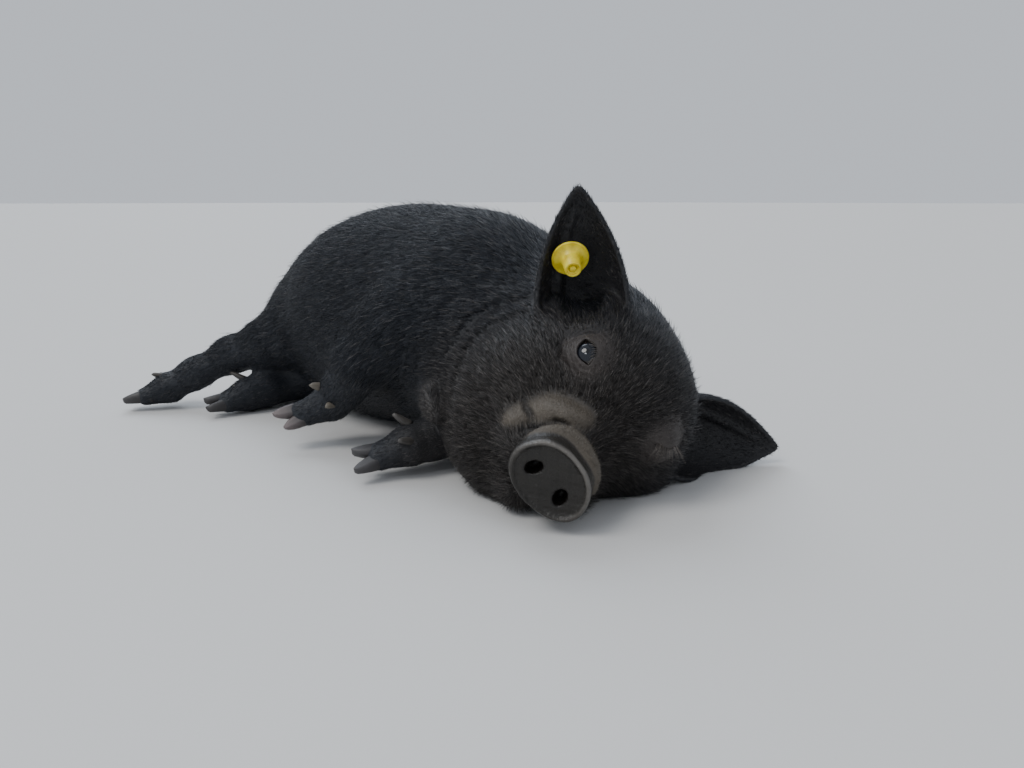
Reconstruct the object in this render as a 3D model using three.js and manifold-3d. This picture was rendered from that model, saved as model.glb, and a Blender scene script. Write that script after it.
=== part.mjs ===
// A kunekune piglet at rest on its left side, life size, as one still model in named pieces.
// Millimetres. +X runs along the trunk towards the head, +Y towards the back, +Z up, and the
// floor is z = 0. The flesh is one smooth blend of named muscle and bone masses, turned into
// faces on a grid, then parted with thin plane cuts into torso, neck, head and snout.
import * as THREE from 'three';
import { mergeVertices } from 'three/addons/utils/BufferGeometryUtils.js';
import Module from 'manifold-3d';

const wasm = await Module();
wasm.setup();
const { Manifold, Mesh: SolidMesh } = wasm;

// Driving dimensions.
const GAP = 0.35; // space between pieces that touch
const TOUCH_RELIEF = 0.02; // how far corners of one solid that touch are drawn apart
const OUTLINE_MIDDLE = new THREE.Vector2(28, -38.4); // middle of the outline seen from above
const CELL = { torso: 13, neck: 11.5, head: 6.6, snout: 4.5, limb: 6.3 }; // size of the faces
const DISC_CENTRE = new THREE.Vector3(205, -78, 28); // middle of the snout disc
const FACING = new THREE.Vector3(0.558, -0.821, -0.1); // way the snout points
const CROWN = new THREE.Vector3(0.659, 0.38, 0.65); // way the forehead points
const DISC = { halfWidth: 21.5, halfHeight: 17, side: -1, up: -1 }; // its middle, across the head
const NOSTRIL = { side: 9.2, up: -2, halfWidth: 3.2, halfHeight: 4.5, depth: 9, splay: 0.35 };
const EYE = { radius: 9.2, side: 29.5, back: -45.5, up: 36.5, proud: 2.2 };
const LID = { halfLength: 7.4, halfHeight: 5.4, thickness: 2.3 };
const EAR = { halfWidth: 25, thickness: 3, bowlRadius: 15, hollow: 4, rootSetBack: 0.45 };
const MOUTH_RADIUS = 1.7;
const CLAW = { length: 18, halfWidth: 5, height: 11 };
const DEWCLAW = { length: 9, halfWidth: 3, height: 5, behind: 9.5, apart: 7 };
const DIGIT = { rootRadius: 7.5, tipRadius: 6.2 };
const TAG = { radius: 9.8, plate: 1.6, bossRadius: 5, bossHeight: 10.5, pinRadius: 1.8, pinLength: 12 };
const TAG_PLACE = new THREE.Vector3(155, -19, 121); // middle of the plate's back, in the right ear
const TAG_FACING = new THREE.Vector3(0.731, -0.508, -0.457); // way the tag's boss points

const vec = (x, y, z) => new THREE.Vector3(x, y, z);
// Each ear's root and tip, the way its cup opens, and the deepest place of its bowl.
const EARS = {
  ear_right: {
    base: vec(158, -12, 88),
    tip: vec(163, -22, 157),
    opening: vec(0.7, -0.7, 0.06),
    bowl: vec(167, -22, 97),
  },
  ear_left: {
    base: vec(190, 28, 26),
    tip: vec(216, 93, 9),
    opening: vec(0.72, -0.66, 0.1),
    bowl: vec(207, 30, 26),
  },
};

// The head's own frame: right, forward and crown, from the middle of the disc.
const forward = FACING.clone().normalize();
const crown = CROWN.clone().addScaledVector(forward, -CROWN.dot(forward)).normalize();
const right = forward.clone().cross(crown);
const headRotation = new THREE.Matrix4().makeBasis(right, forward, crown);
const headMatrix = headRotation.clone().setPosition(DISC_CENTRE);
const inHead = (x, y, z) => vec(x, y, z).applyMatrix4(headMatrix);
const headWay = (x, y, z) => vec(x, y, z).applyMatrix4(headRotation).normalize();

// Masses. Each is a function of x, y, z that is negative inside.
function ellipsoid(centre, radii, basis = new THREE.Matrix4()) {
  const e = basis.elements;
  return (x, y, z) => {
    const dx = x - centre.x;
    const dy = y - centre.y;
    const dz = z - centre.z;
    const a = (dx * e[0] + dy * e[1] + dz * e[2]) / radii[0];
    const b = (dx * e[4] + dy * e[5] + dz * e[6]) / radii[1];
    const c = (dx * e[8] + dy * e[9] + dz * e[10]) / radii[2];
    const reach = Math.hypot(a, b, c);
    const slope = Math.hypot(a / radii[0], b / radii[1], c / radii[2]);
    return slope < 1e-9 ? -Math.min(...radii) : (reach * (reach - 1)) / slope;
  };
}

function bone(from, to, fromRadius, toRadius) {
  const run = to.clone().sub(from);
  const length2 = run.lengthSq();
  return (x, y, z) => {
    const dx = x - from.x;
    const dy = y - from.y;
    const dz = z - from.z;
    const along = (dx * run.x + dy * run.y + dz * run.z) / length2;
    const t = Math.min(1, Math.max(0, along));
    const away = Math.hypot(dx - run.x * t, dy - run.y * t, dz - run.z * t);
    return away - (fromRadius + (toRadius - fromRadius) * t);
  };
}

function blend(softness, ...masses) {
  return (x, y, z) => {
    let d = masses[0](x, y, z);
    for (let i = 1; i < masses.length; i++) {
      const e = masses[i](x, y, z);
      const h = Math.max(softness - Math.abs(d - e), 0) / softness;
      d = Math.min(d, e) - (h * h * softness) / 4;
    }
    return d;
  };
}

function scooped(mass, tool, softness) {
  return (x, y, z) => {
    const d = mass(x, y, z);
    const e = -tool(x, y, z);
    const h = Math.max(softness - Math.abs(d - e), 0) / softness;
    return Math.max(d, e) + (h * h * softness) / 4;
  };
}

// The faces of a mass inside a box: one vertex in each grid cell that the surface crosses,
// drawn onto the surface, and one quad round each grid edge that it crosses.
function facesOf(mass, low, high, cell) {
  const n = [0, 1, 2].map((k) => Math.ceil((high.getComponent(k) - low.getComponent(k)) / cell) + 1);
  const index = (i, j, k) => i + n[0] * (j + n[1] * k);
  const value = new Float64Array(n[0] * n[1] * n[2]);
  for (let k = 0; k < n[2]; k++)
    for (let j = 0; j < n[1]; j++)
      for (let i = 0; i < n[0]; i++)
        value[index(i, j, k)] = onRim(i, j, k, n)
          ? cell / 2
          : mass(low.x + i * cell, low.y + j * cell, low.z + k * cell);
  const corners = [0, 1, 2, 3, 4, 5, 6, 7].map((c) => [c & 1, (c >> 1) & 1, (c >> 2) & 1]);
  const edges = [];
  for (let a = 0; a < 8; a++)
    for (const bit of [1, 2, 4]) if (!(a & bit)) edges.push([a, a | bit]);
  const vertexAt = new Map();
  const points = [];
  for (let k = 0; k < n[2] - 1; k++)
    for (let j = 0; j < n[1] - 1; j++)
      for (let i = 0; i < n[0] - 1; i++) {
        const v = corners.map(([a, b, c]) => value[index(i + a, j + b, k + c)]);
        const sum = vec(0, 0, 0);
        let crossings = 0;
        for (const [a, b] of edges) {
          if (v[a] < 0 === v[b] < 0) continue;
          const start = vec(...corners[a]);
          sum.add(start.lerp(vec(...corners[b]), v[a] / (v[a] - v[b])));
          crossings++;
        }
        if (crossings === 0) continue;
        vertexAt.set(index(i, j, k), points.length);
        points.push(sum.divideScalar(crossings).add(vec(i, j, k)).multiplyScalar(cell).add(low));
      }
  const atRim = points.map((p) => [0, 1, 2].some((k) => p.getComponent(k) < low.getComponent(k) + cell
    || p.getComponent(k) > low.getComponent(k) + (n[k] - 2) * cell));
  for (let pass = 0; pass < 2; pass++) points.forEach((p, i) => atRim[i] || drawTo(mass, p, cell));
  const quads = [];
  for (let k = 0; k < n[2] - 1; k++)
    for (let j = 0; j < n[1] - 1; j++)
      for (let i = 0; i < n[0] - 1; i++)
        for (let axis = 0; axis < 3; axis++) {
          const [step, u, w] = [0, 1, 2].map((turn) => unitStep((axis + turn) % 3));
          const here = value[index(i, j, k)] < 0;
          if (here === value[index(i + step[0], j + step[1], k + step[2])] < 0) continue;
          const at = (a, b) =>
            vertexAt.get(index(i - u[0] * a - w[0] * b, j - u[1] * a - w[1] * b, k - u[2] * a - w[2] * b));
          const ring = [at(0, 0), at(1, 0), at(1, 1), at(0, 1)];
          quads.push(here ? ring : ring.reverse());
        }
  return facetedGeometry(points, quads);
}

const onRim = (i, j, k, n) => [i, j, k].some((at, axis) => at === 0 || at === n[axis] - 1);
const unitStep = (axis) => [axis === 0 ? 1 : 0, axis === 1 ? 1 : 0, axis === 2 ? 1 : 0];

// Moves a point along the mass's slope onto its surface, by at most half a cell.
function drawTo(mass, p, cell) {
  const step = 0.05 * cell;
  const slope = vec(
    mass(p.x + step, p.y, p.z) - mass(p.x - step, p.y, p.z),
    mass(p.x, p.y + step, p.z) - mass(p.x, p.y - step, p.z),
    mass(p.x, p.y, p.z + step) - mass(p.x, p.y, p.z - step),
  ).divideScalar(2 * step);
  const move = slope.multiplyScalar(-mass(p.x, p.y, p.z) / Math.max(slope.lengthSq(), 1e-6));
  p.add(move.clampLength(0, 0.5 * cell));
}

// Each quad is split along its shorter diagonal.
function facetedGeometry(points, quads) {
  const indices = [];
  for (const [a, b, c, d] of quads) {
    const acIsShorter = points[a].distanceToSquared(points[c]) <= points[b].distanceToSquared(points[d]);
    if (acIsShorter) indices.push(a, b, c, a, c, d);
    else indices.push(a, b, d, b, c, d);
  }
  const geometry = new THREE.BufferGeometry().setFromPoints(points);
  geometry.setIndex(indices);
  return geometry;
}

// A skin over rings of points, each closed by strips across it at the two ends.
function loft(rings) {
  const count = rings[0].length;
  const last = (rings.length - 1) * count;
  const quads = [];
  for (let r = 0; r < rings.length - 1; r++)
    for (let i = 0; i < count; i++) {
      const j = (i + 1) % count;
      quads.push([r * count + i, r * count + j, (r + 1) * count + j, (r + 1) * count + i]);
    }
  for (let i = 0; i < count / 2 - 1; i++) {
    const [a, b, c, d] = [i, i + 1, count - 2 - i, count - 1 - i];
    quads.push([d, c, b, a], [last + a, last + b, last + c, last + d]);
  }
  return facetedGeometry(rings.flat(), quads);
}

// A round rod along a curve, its radius given by how far along it is.
function rod(curve, steps, sides, radiusAt) {
  const frames = curve.computeFrenetFrames(steps, false);
  const rings = [];
  for (let s = 0; s <= steps; s++) {
    const middle = curve.getPointAt(s / steps);
    const ring = [];
    for (let i = 0; i < sides; i++) {
      const turn = (2 * Math.PI * i) / sides;
      const side = frames.normals[s].clone().multiplyScalar(Math.cos(turn));
      side.addScaledVector(frames.binormals[s], Math.sin(turn));
      ring.push(middle.clone().addScaledVector(side, radiusAt(s / steps)));
    }
    rings.push(ring);
  }
  return solidOf(loft(rings));
}

function solidOf(geometry) {
  const bare = geometry.clone();
  for (const name of ['normal', 'uv']) bare.deleteAttribute(name);
  const merged = mergeVertices(bare, 1e-4);
  const vertProperties = new Float32Array(merged.attributes.position.array);
  const triVerts = new Uint32Array(merged.index.array);
  const solid = new Manifold(new SolidMesh({ numProp: 3, vertProperties, triVerts }));
  if (solid.volume() > 0) return solid;
  return new Manifold(new SolidMesh({ numProp: 3, vertProperties, triVerts: triVerts.reverse() }));
}

// The same solid with every vertex moved out along the mean of its faces' directions.
function grown(solid, amount) {
  const geometry = geometryOf(solid);
  geometry.computeVertexNormals();
  const position = geometry.attributes.position;
  const normal = geometry.attributes.normal;
  for (let i = 0; i < position.count; i++) {
    const p = vec(0, 0, 0).fromBufferAttribute(position, i);
    p.addScaledVector(vec(0, 0, 0).fromBufferAttribute(normal, i), amount);
    position.setXYZ(i, p.x, p.y, p.z);
  }
  return solidOf(geometry);
}

function geometryOf(solid) {
  const mesh = solid.getMesh();
  const geometry = new THREE.BufferGeometry();
  geometry.setAttribute('position', new THREE.BufferAttribute(mesh.vertProperties, 3));
  geometry.setIndex(new THREE.BufferAttribute(mesh.triVerts, 1));
  return geometry;
}

// Where two corners of a solid touch, each is drawn a little into its own side.
function untouched(solid) {
  const geometry = geometryOf(solid);
  geometry.computeVertexNormals();
  const position = geometry.attributes.position;
  const key = (i) => [position.getX(i), position.getY(i), position.getZ(i)].map((v) => v.toFixed(3)).join();
  const seen = new Map();
  for (let i = 0; i < position.count; i++) seen.set(key(i), [...(seen.get(key(i)) ?? []), i]);
  for (const group of [...seen.values()].filter((same) => same.length > 1))
    for (const i of group) {
      const p = vec(0, 0, 0).fromBufferAttribute(position, i);
      p.addScaledVector(vec(0, 0, 0).fromBufferAttribute(geometry.attributes.normal, i), -TOUCH_RELIEF);
      position.setXYZ(i, p.x, p.y, p.z);
    }
  return geometry;
}

const largestOf = (solid) => solid.decompose().sort((a, b) => b.volume() - a.volume())[0];
// Keeps the side of a plane that its normal points to, set back by an amount.
const keep = (solid, plane, back) =>
  solid.trimByPlane(plane.normal.toArray(), plane.normal.dot(plane.point) + back);
const opposite = (plane) => ({ point: plane.point, normal: plane.normal.clone().negate() });
const onFloor = (solid) => solid.trimByPlane([0, 0, 1], 0);
const ball = (radius, matrix, wide = 12, high = 8) =>
  solidOf(new THREE.SphereGeometry(radius, wide, high).applyMatrix4(matrix));
// A matrix whose z points a given way, at a place, with its x as near as can be to a side.
function facingMatrix(place, way, side) {
  const z = way.clone().normalize();
  const x = side.clone().addScaledVector(z, -side.dot(z)).normalize();
  return new THREE.Matrix4().makeBasis(x, z.clone().cross(x), z).setPosition(place);
}

// The trunk, lying on its left side. Its upper side is the right flank.
const trunkMass = blend(
  34,
  ellipsoid(vec(68, 2, 67), [60, 66, 65]), // shoulders
  ellipsoid(vec(14, 0, 71), [84, 74, 75]), // ribs
  ellipsoid(vec(-42, -8, 69), [72, 78, 71]), // belly
  ellipsoid(vec(-86, 10, 63), [58, 66, 62]), // rump
);
const upperLimbs = blend(
  24,
  bone(vec(68, -8, 94), vec(60, -50, 80), 40, 25), // right upper arm
  bone(vec(92, -5, 34), vec(93, -30, 28), 30, 20), // left upper arm
  bone(vec(-86, -12, 80), vec(-84, -54, 66), 42, 25), // right thigh
  bone(vec(-96, -15, 38), vec(-102, -40, 22), 38, 20), // left thigh
);

// The neck, bent towards the belly side.
const neckMass = blend(
  26,
  bone(vec(80, 6, 66), vec(140, 4, 58), 58, 54), // nape
  bone(vec(108, -34, 46), vec(146, -38, 38), 40, 36), // throat
);

// The head, in its own frame.
const headPart = (x, y, z, radii) => ellipsoid(inHead(x, y, z), radii, headRotation);
const skullMass = blend(
  20,
  headPart(0, -84, 12, [51, 44, 50]), // cranium
  headPart(0, -66, 24, [36, 32, 30]), // forehead
  headPart(34, -70, -12, [29, 34, 32]), // right cheek
  headPart(-34, -84, -12, [28, 30, 34]), // left cheek
  headPart(0, -66, -34, [38, 32, 27]), // throat and lower jaw
  headPart(24, -58, -38, [26, 28, 24]), // right jowl
);
const muzzleMass = blend(
  10,
  bone(inHead(0, -54, 0), inHead(0, -22, 0), 30, 17.5), // bridge and muzzle
  bone(inHead(0, -56, -30), inHead(2, -24, -26), 25, 13), // chin
  headPart(17, -32, -12, [15, 20, 13]), // right lip
  headPart(-17, -32, -12, [13, 18, 12]), // left lip
);
// The fleshy folds of the bridge: a big one on its right side, and a ridge close behind the disc.
function foldMasses(places) {
  const line = places.map(([x, y, z, radius]) => ({ at: inHead(x, y, z), radius }));
  return line.slice(1).map((end, i) => bone(line[i].at, end.at, line[i].radius, end.radius));
}
const bigFold = foldMasses([
  [29, -23, -6, 3.8],
  [26, -27, 2, 6.4],
  [22, -28, 10, 7.6],
  [16, -26, 17, 6.6],
  [8, -27, 21, 3.8],
]);
const rimFold = foldMasses([
  [21, -9, 2, 2.4],
  [17, -12, 10, 3.6],
  [2, -13, 19.5, 4.2],
  [-14, -13, 13, 3.6],
  [-19, -14, 5, 2.4],
]);
const foldsMass = blend(3, ...bigFold, ...rimFold);
const headMass = blend(5, blend(14, skullMass, muzzleMass), foldsMass);
const wholeMass = blend(18, blend(24, trunkMass, upperLimbs), neckMass, headMass);
// The bowl of each ear runs down into the skull.
const earBowl = ({ base, tip, bowl }) =>
  bone(bowl, base.clone().lerp(tip, 0.3), EAR.bowlRadius * 0.7, EAR.bowlRadius);
const fleshMass = scooped(scooped(wholeMass, earBowl(EARS.ear_right), 5), earBowl(EARS.ear_left), 5);

// The planes that part the flesh.
const neckRoot = { point: vec(94, 0, 66), normal: vec(1, -0.1, 0).normalize() };
const neckTop = { point: inHead(0, -104, 0), normal: vec(0.92, -0.39, 0).normalize() };
const muzzleRoot = { point: inHead(0, -32, 0), normal: headWay(0, 1, 0) };
const lowest = -12;
const headLow = vec(84, -130, lowest);
const headHigh = vec(262, 90, 150);
const skinOf = (mass, low, high, cell) => solidOf(facesOf(mass, low, high, cell));

const torsoSkin = skinOf(fleshMass, vec(-180, -120, lowest), vec(150, 110, 170), CELL.torso);
const torso = largestOf(onFloor(keep(torsoSkin, opposite(neckRoot), GAP / 2)));
const neckSkin = skinOf(fleshMass, vec(60, -140, lowest), vec(240, 110, 170), CELL.neck);
const neckPlain = largestOf(onFloor(keep(keep(neckSkin, neckRoot, GAP / 2), opposite(neckTop), GAP / 2)));
const headSkin = skinOf(fleshMass, headLow, headHigh, CELL.head);
const skullPlain = keep(keep(headSkin, neckTop, GAP / 2), opposite(muzzleRoot), GAP / 2);
const snoutSkin = skinOf(fleshMass, headLow, headHigh, CELL.snout);

// The mouth line: a narrow groove round the muzzle under the disc, back to both corners.
const halfMouth = [[30, -47, -15], [24, -34, -17], [13, -19, -17.5]];
const otherHalf = halfMouth.map(([x, y, z]) => [-x, y, z]);
const mouthCurve = new THREE.CatmullRomCurve3(
  [...otherHalf, [0, -11, -17.5], ...halfMouth.reverse()].map((p) => inHead(...p)),
);
const mouth = rod(mouthCurve, 24, 6, () => MOUTH_RADIUS);

// The eyes, in sockets, with an upper and a lower lid round each.
const pieces = [];
const add = (name, solid, look) => pieces.push({ name, solid: largestOf(solid), look });
const eyeWay = (side) => headWay(side * 0.5, 0.75, 0.43);
const lidWay = (side) => headWay(side * 0.75, -0.56, 0.35); // from the inner corner to the outer
function eyePlace(side) {
  const p = inHead(side * EYE.side, EYE.back, EYE.up);
  for (let pass = 0; pass < 6; pass++) drawTo(fleshMass, p, 20);
  return p.addScaledVector(eyeWay(side), EYE.proud - EYE.radius);
}
function lids(side) {
  const ring = new THREE.TorusGeometry(1, LID.thickness / LID.halfHeight, 8, 20);
  ring.scale(LID.halfLength, LID.halfHeight, LID.halfHeight * 0.9);
  const rim = eyePlace(side).addScaledVector(eyeWay(side), EYE.radius - 1.4);
  return solidOf(ring.applyMatrix4(facingMatrix(rim, eyeWay(side), lidWay(side))));
}
let skull = skullPlain;
for (const [name, side] of [['eye_right', 1], ['eye_left', -1]]) {
  const place = facingMatrix(eyePlace(side), eyeWay(side), crown);
  skull = skull.add(lids(side)).subtract(ball(EYE.radius + GAP, place));
  add(name, ball(EYE.radius, place), 'eye');
}

// The snout: muzzle, folds, upright disc with its rim and two nostrils.
const discWay = headWay(0, 1, 0.1);
const discFrame = facingMatrix(inHead(DISC.side, 0, DISC.up), discWay, right);
const disc = new THREE.LatheGeometry(
  [[0, -8], [0.8, -8], [0.97, -6.5], [1, -3.5], [1, -0.6], [0.94, 0.3], [0.86, 0], [0.78, -1.2], [0, -1.8]]
    .map(([r, h]) => new THREE.Vector2(r, h)),
  28,
).rotateX(Math.PI / 2);
disc.scale(DISC.halfWidth, DISC.halfHeight, 1);
let snout = keep(snoutSkin, muzzleRoot, GAP / 2).add(solidOf(disc.applyMatrix4(discFrame)));
for (const side of [-1, 1]) {
  const hole = new THREE.SphereGeometry(1, 12, 8);
  hole.scale(NOSTRIL.halfWidth, NOSTRIL.halfHeight, NOSTRIL.depth);
  hole.rotateZ(side * NOSTRIL.splay);
  hole.translate(side * NOSTRIL.side, NOSTRIL.up, 0);
  snout = snout.subtract(solidOf(hole.applyMatrix4(discFrame)));
}
add('snout', onFloor(snout.subtract(mouth)), 'hide');
skull = largestOf(onFloor(skull.subtract(mouth)));

// The ears: cupped leaves, each a shell that narrows to its tip.
const earWidth = (u) => EAR.halfWidth * Math.max(0.05, 0.9 + 0.36 * u - 1.21 * u * u);
const earBend = (u) => 1.75 - 0.95 * u; // half the angle that the section turns through
function earShell({ base, tip, opening }) {
  const axis = tip.clone().sub(base);
  const length = axis.length();
  axis.normalize();
  const front = opening.clone().addScaledVector(axis, -opening.dot(axis)).normalize();
  const across = front.clone().cross(axis);
  const rings = [];
  const steps = 8;
  const half = 4;
  for (let s = 0; s <= steps; s++) {
    const u = s / steps;
    const bend = earBend(u);
    const radius = earWidth(u) / Math.sin(Math.min(bend, Math.PI / 2));
    const thick = EAR.thickness * (1 - 0.35 * u);
    const middle = base.clone().addScaledVector(axis, length * u);
    const setBack = EAR.hollow * Math.sin(Math.PI * u) + EAR.rootSetBack * EAR.halfWidth * (1 - u);
    middle.addScaledVector(front, -setBack);
    const side = (reach, k) => {
      const turn = bend * (k / half);
      const p = middle.clone().addScaledVector(across, reach * Math.sin(turn));
      return p.addScaledVector(front, radius - reach * Math.cos(turn));
    };
    const outer = [];
    const inner = [];
    for (let k = -half; k <= half; k++) {
      outer.push(side(radius + thick / 2, k));
      inner.push(side(Math.max(radius - thick / 2, 0.2), k));
    }
    rings.push([...outer, ...inner.reverse()]);
  }
  return solidOf(loft(rings));
}

// The limbs below the trunk: bones from the elbow or stifle down to the fetlock, then two digits.
const limbs = {
  foreleg_right: {
    line: [[60, -50, 79, 24], [52, -68, 69, 20], [41, -81, 55, 16.5], [28, -85, 40, 13], [19, -88, 29, 12.5]],
    toes: [[1, -120, 20], [9, -117, 13]],
    palm: [0.62, -0.25, 0.6],
  },
  foreleg_left: {
    line: [[93, -32, 28, 20], [93, -50, 22, 15], [95, -66, 18.5, 12], [94, -80, 17, 12]],
    toes: [[80, -110, 13], [90, -114, 6]],
    palm: [0.3, 0.2, 0.9],
  },
  hindleg_right: {
    line: [
      [-82, -56, 62, 24],
      [-94, -79, 49, 18.5],
      [-120, -99, 38, 13],
      [-134, -122, 25, 11],
      [-142, -138, 15.5, 11.5],
    ],
    toes: [[-149, -170, 6], [-156, -166, 4]],
    palm: [-0.6, -0.2, 0.5],
  },
  hindleg_left: {
    line: [[-98, -44, 20, 21], [-101, -66, 17, 15], [-96, -86, 14, 12.5], [-95, -98, 12.5, 12.5]],
    toes: [[-99, -129, 9], [-90, -130, 5]],
    palm: [-0.5, 0.1, 0.8],
  },
};

// A claw from its root to its tip: a blunt wedge with a flat sole, its back deeper than its tip.
function claw(root, tip, up, size) {
  const length = root.distanceTo(tip);
  const way = tip.clone().sub(root).normalize();
  const lift = up.clone().addScaledVector(way, -up.dot(way)).normalize();
  const across = way.clone().cross(lift);
  const rings = [];
  const steps = 5;
  const sides = 8;
  for (let s = 0; s <= steps; s++) {
    const u = s / steps;
    const swell = 0.9 + 0.1 * Math.sin(Math.PI * u);
    const wide = size.halfWidth * swell * Math.sqrt(Math.max(0.02, 1 - u ** 2.6));
    const high = size.height * (1 - 0.6 * u);
    const ring = [];
    for (let i = 0; i < sides; i++) {
      const turn = (2 * Math.PI * i) / sides;
      const rise = high * Math.max(0.06, 0.5 - 0.56 * Math.cos(turn)) - size.height * 0.45;
      const p = root.clone().addScaledVector(way, length * u);
      ring.push(p.addScaledVector(across, wide * Math.sin(turn)).addScaledVector(lift, rise));
    }
    rings.push(ring);
  }
  return solidOf(loft(rings));
}

const bodyGrown = [torso, neckPlain].map((solid) => grown(solid, GAP));
const claws = [];
const legs = [];
for (const [name, limb] of Object.entries(limbs)) {
  const line = limb.line.map(([x, y, z, radius]) => ({ at: vec(x, y, z), radius }));
  const masses = [];
  for (let i = 1; i < line.length; i++)
    masses.push(bone(line[i - 1].at, line[i].at, line[i - 1].radius, line[i].radius));
  const fetlock = line[line.length - 1].at;
  const palm = vec(...limb.palm).normalize();
  const tips = limb.toes.map((p) => vec(...p));
  const parting = tips[0].clone().sub(tips[1]).normalize();
  const legClaws = [];
  tips.forEach((tip, i) => {
    const sign = i === 0 ? 1 : -1;
    const way = tip.clone().sub(fetlock).normalize();
    const root = tip.clone().addScaledVector(way, -CLAW.length);
    const spread = parting.clone().multiplyScalar(sign * (CLAW.halfWidth + 0.4));
    const middle = tips[0].clone().lerp(tips[1], 0.5).addScaledVector(way, -CLAW.length);
    root.lerp(middle.add(spread), 0.8);
    const up = palm.clone().negate();
    legClaws.push([`${name}_claw_${i + 1}`, claw(root, tip, up, CLAW)]);
    const digitTip = root.clone().addScaledVector(way, 3);
    masses.push(bone(fetlock.clone().lerp(root, 0.2), digitTip, DIGIT.rootRadius, DIGIT.tipRadius));
    const behind = palm.clone().addScaledVector(way, -palm.dot(way)).normalize();
    const dewRoot = fetlock.clone().addScaledVector(behind, DEWCLAW.behind);
    dewRoot.addScaledVector(parting, sign * DEWCLAW.apart);
    const dewTip = dewRoot.clone().addScaledVector(way, DEWCLAW.length * 0.75).addScaledVector(behind, 6.5);
    legClaws.push([`${name}_dewclaw_${i + 1}`, claw(dewRoot, dewTip, behind, DEWCLAW)]);
  });
  const box = new THREE.Box3().setFromPoints([...line.map((l) => l.at), ...tips]).expandByScalar(30);
  box.min.z = lowest;
  let leg = skinOf(blend(9, ...masses), box.min, box.max, CELL.limb);
  for (const near of bodyGrown) leg = leg.subtract(near);
  for (const [, piece] of legClaws) leg = leg.subtract(grown(piece, GAP));
  for (const [, other] of legs) leg = leg.subtract(grown(other, GAP));
  legs.push([name, largestOf(leg)]);
  claws.push(...legClaws);
}

// The tail, a short soft curve behind the rump, with a tuft at its end.
const tailCurve = new THREE.CatmullRomCurve3(
  [[-120, 36, 62], [-146, 52, 58], [-160, 50, 44], [-158, 38, 28], [-150, 34, 16], [-146, 40, 7]]
    .map((p) => vec(...p)),
);
const TAIL = { rootRadius: 6.2, tipRadius: 2.8 };
const tail = rod(tailCurve, 14, 8, (u) => TAIL.rootRadius + (TAIL.tipRadius - TAIL.rootRadius) * u);

// The wattle, a bulb on a stalk that hangs from the throat.
const wattleCurve = new THREE.CatmullRomCurve3(
  [[112, -60, 56], [110, -76, 51], [115, -82, 46], [124, -84, 40]].map((p) => vec(...p)),
);
const WATTLE = { stalkRadius: 3, bulbRadius: 4.8 };
const wattleSwell = (u) => Math.sin(Math.PI * 0.72 * u) * (u < 0.98 ? 1 : 0.6);
const wattle = rod(
  wattleCurve,
  10,
  8,
  (u) => WATTLE.stalkRadius + (WATTLE.bulbRadius - WATTLE.stalkRadius) * wattleSwell(u),
);
const clearOf = (solid, others) => others.reduce((rest, other) => rest.subtract(other), solid);
const headGrown = [grown(skull, GAP), grown(neckPlain, GAP), grown(torso, GAP)];
const neck = neckPlain.add(wattle.subtract(headGrown[0]).subtract(headGrown[2]));

add('torso', torso, 'hide');
add('neck', onFloor(neck), 'hide');
for (const [name, leg] of legs) add(name, onFloor(clearOf(leg, [headGrown[0], grown(wattle, GAP)])), 'hide');
const clawsDone = [];
for (const [name, piece] of claws) {
  const otherLegs = legs.filter(([leg]) => !name.startsWith(leg)).map(([, leg]) => grown(leg, GAP));
  const shaped = largestOf(clearOf(piece, [...headGrown, ...otherLegs, ...clawsDone]));
  add(name, onFloor(shaped), 'claw');
  clawsDone.push(grown(shaped, GAP));
}
add('tail', onFloor(clearOf(tail, headGrown)), 'hide');

// The tag: a round plate with a hollow boss in front of the ear, and a button with a pin behind.
const tagFrame = facingMatrix(TAG_PLACE, TAG_FACING, vec(1, 1, 0));
const turned = (profile, sides = 16) =>
  solidOf(
    new THREE.LatheGeometry(profile.map(([r, h]) => new THREE.Vector2(r, h)), sides)
      .rotateX(Math.PI / 2)
      .applyMatrix4(tagFrame),
  );
const { radius: tagRadius, plate, bossRadius, bossHeight, pinRadius } = TAG;
const bore = pinRadius + GAP;
const bossTop = plate + bossHeight;
const bossFloor = bossTop - 1.2;
const front = turned([
  [bore, 0], [tagRadius - 0.6, 0], [tagRadius, 0.4], [tagRadius, plate - 0.3], [tagRadius - 0.5, plate],
  [bossRadius + 1.4, plate + 0.3], [bossRadius, plate + 1.6], [bossRadius - 0.6, bossTop],
  [bossRadius - 1.6, bossTop], [bossRadius - 1.9, bossFloor], [bore, bossFloor], [bore, 0],
]);
const backDepth = -TAG.pinLength;
const back = turned([
  [0, backDepth - plate], [tagRadius - 1, backDepth - plate], [tagRadius - 0.4, backDepth - plate + 0.5],
  [tagRadius - 0.4, backDepth - 0.3], [tagRadius - 0.8, backDepth], [pinRadius + 0.8, backDepth + 0.6],
  [pinRadius, backDepth + 1.2], [pinRadius, bossFloor], [pinRadius - 1, bossTop], [0, bossTop],
]);
const tagGrown = [grown(front, GAP), grown(back, GAP)];
// The right ear swells round the pin, from the button to the plate.
const swelling = new THREE.CylinderGeometry(TAG.radius - 2.5, TAG.radius - 1, TAG.pinLength - 2, 14);
swelling.rotateX(Math.PI / 2).translate(0, 0, -TAG.pinLength / 2);
const earSolids = {
  ear_right: earShell(EARS.ear_right).add(solidOf(swelling.applyMatrix4(tagFrame))),
  ear_left: earShell(EARS.ear_left),
};
for (const [name, ear] of Object.entries(earSolids)) {
  add(name, onFloor(clearOf(clearOf(ear, headGrown), tagGrown)), 'hide');
}
add('tag_front', front, 'tag');
add('tag_back', clearOf(back, headGrown), 'tag');
add('head', skull, 'hide');

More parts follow.
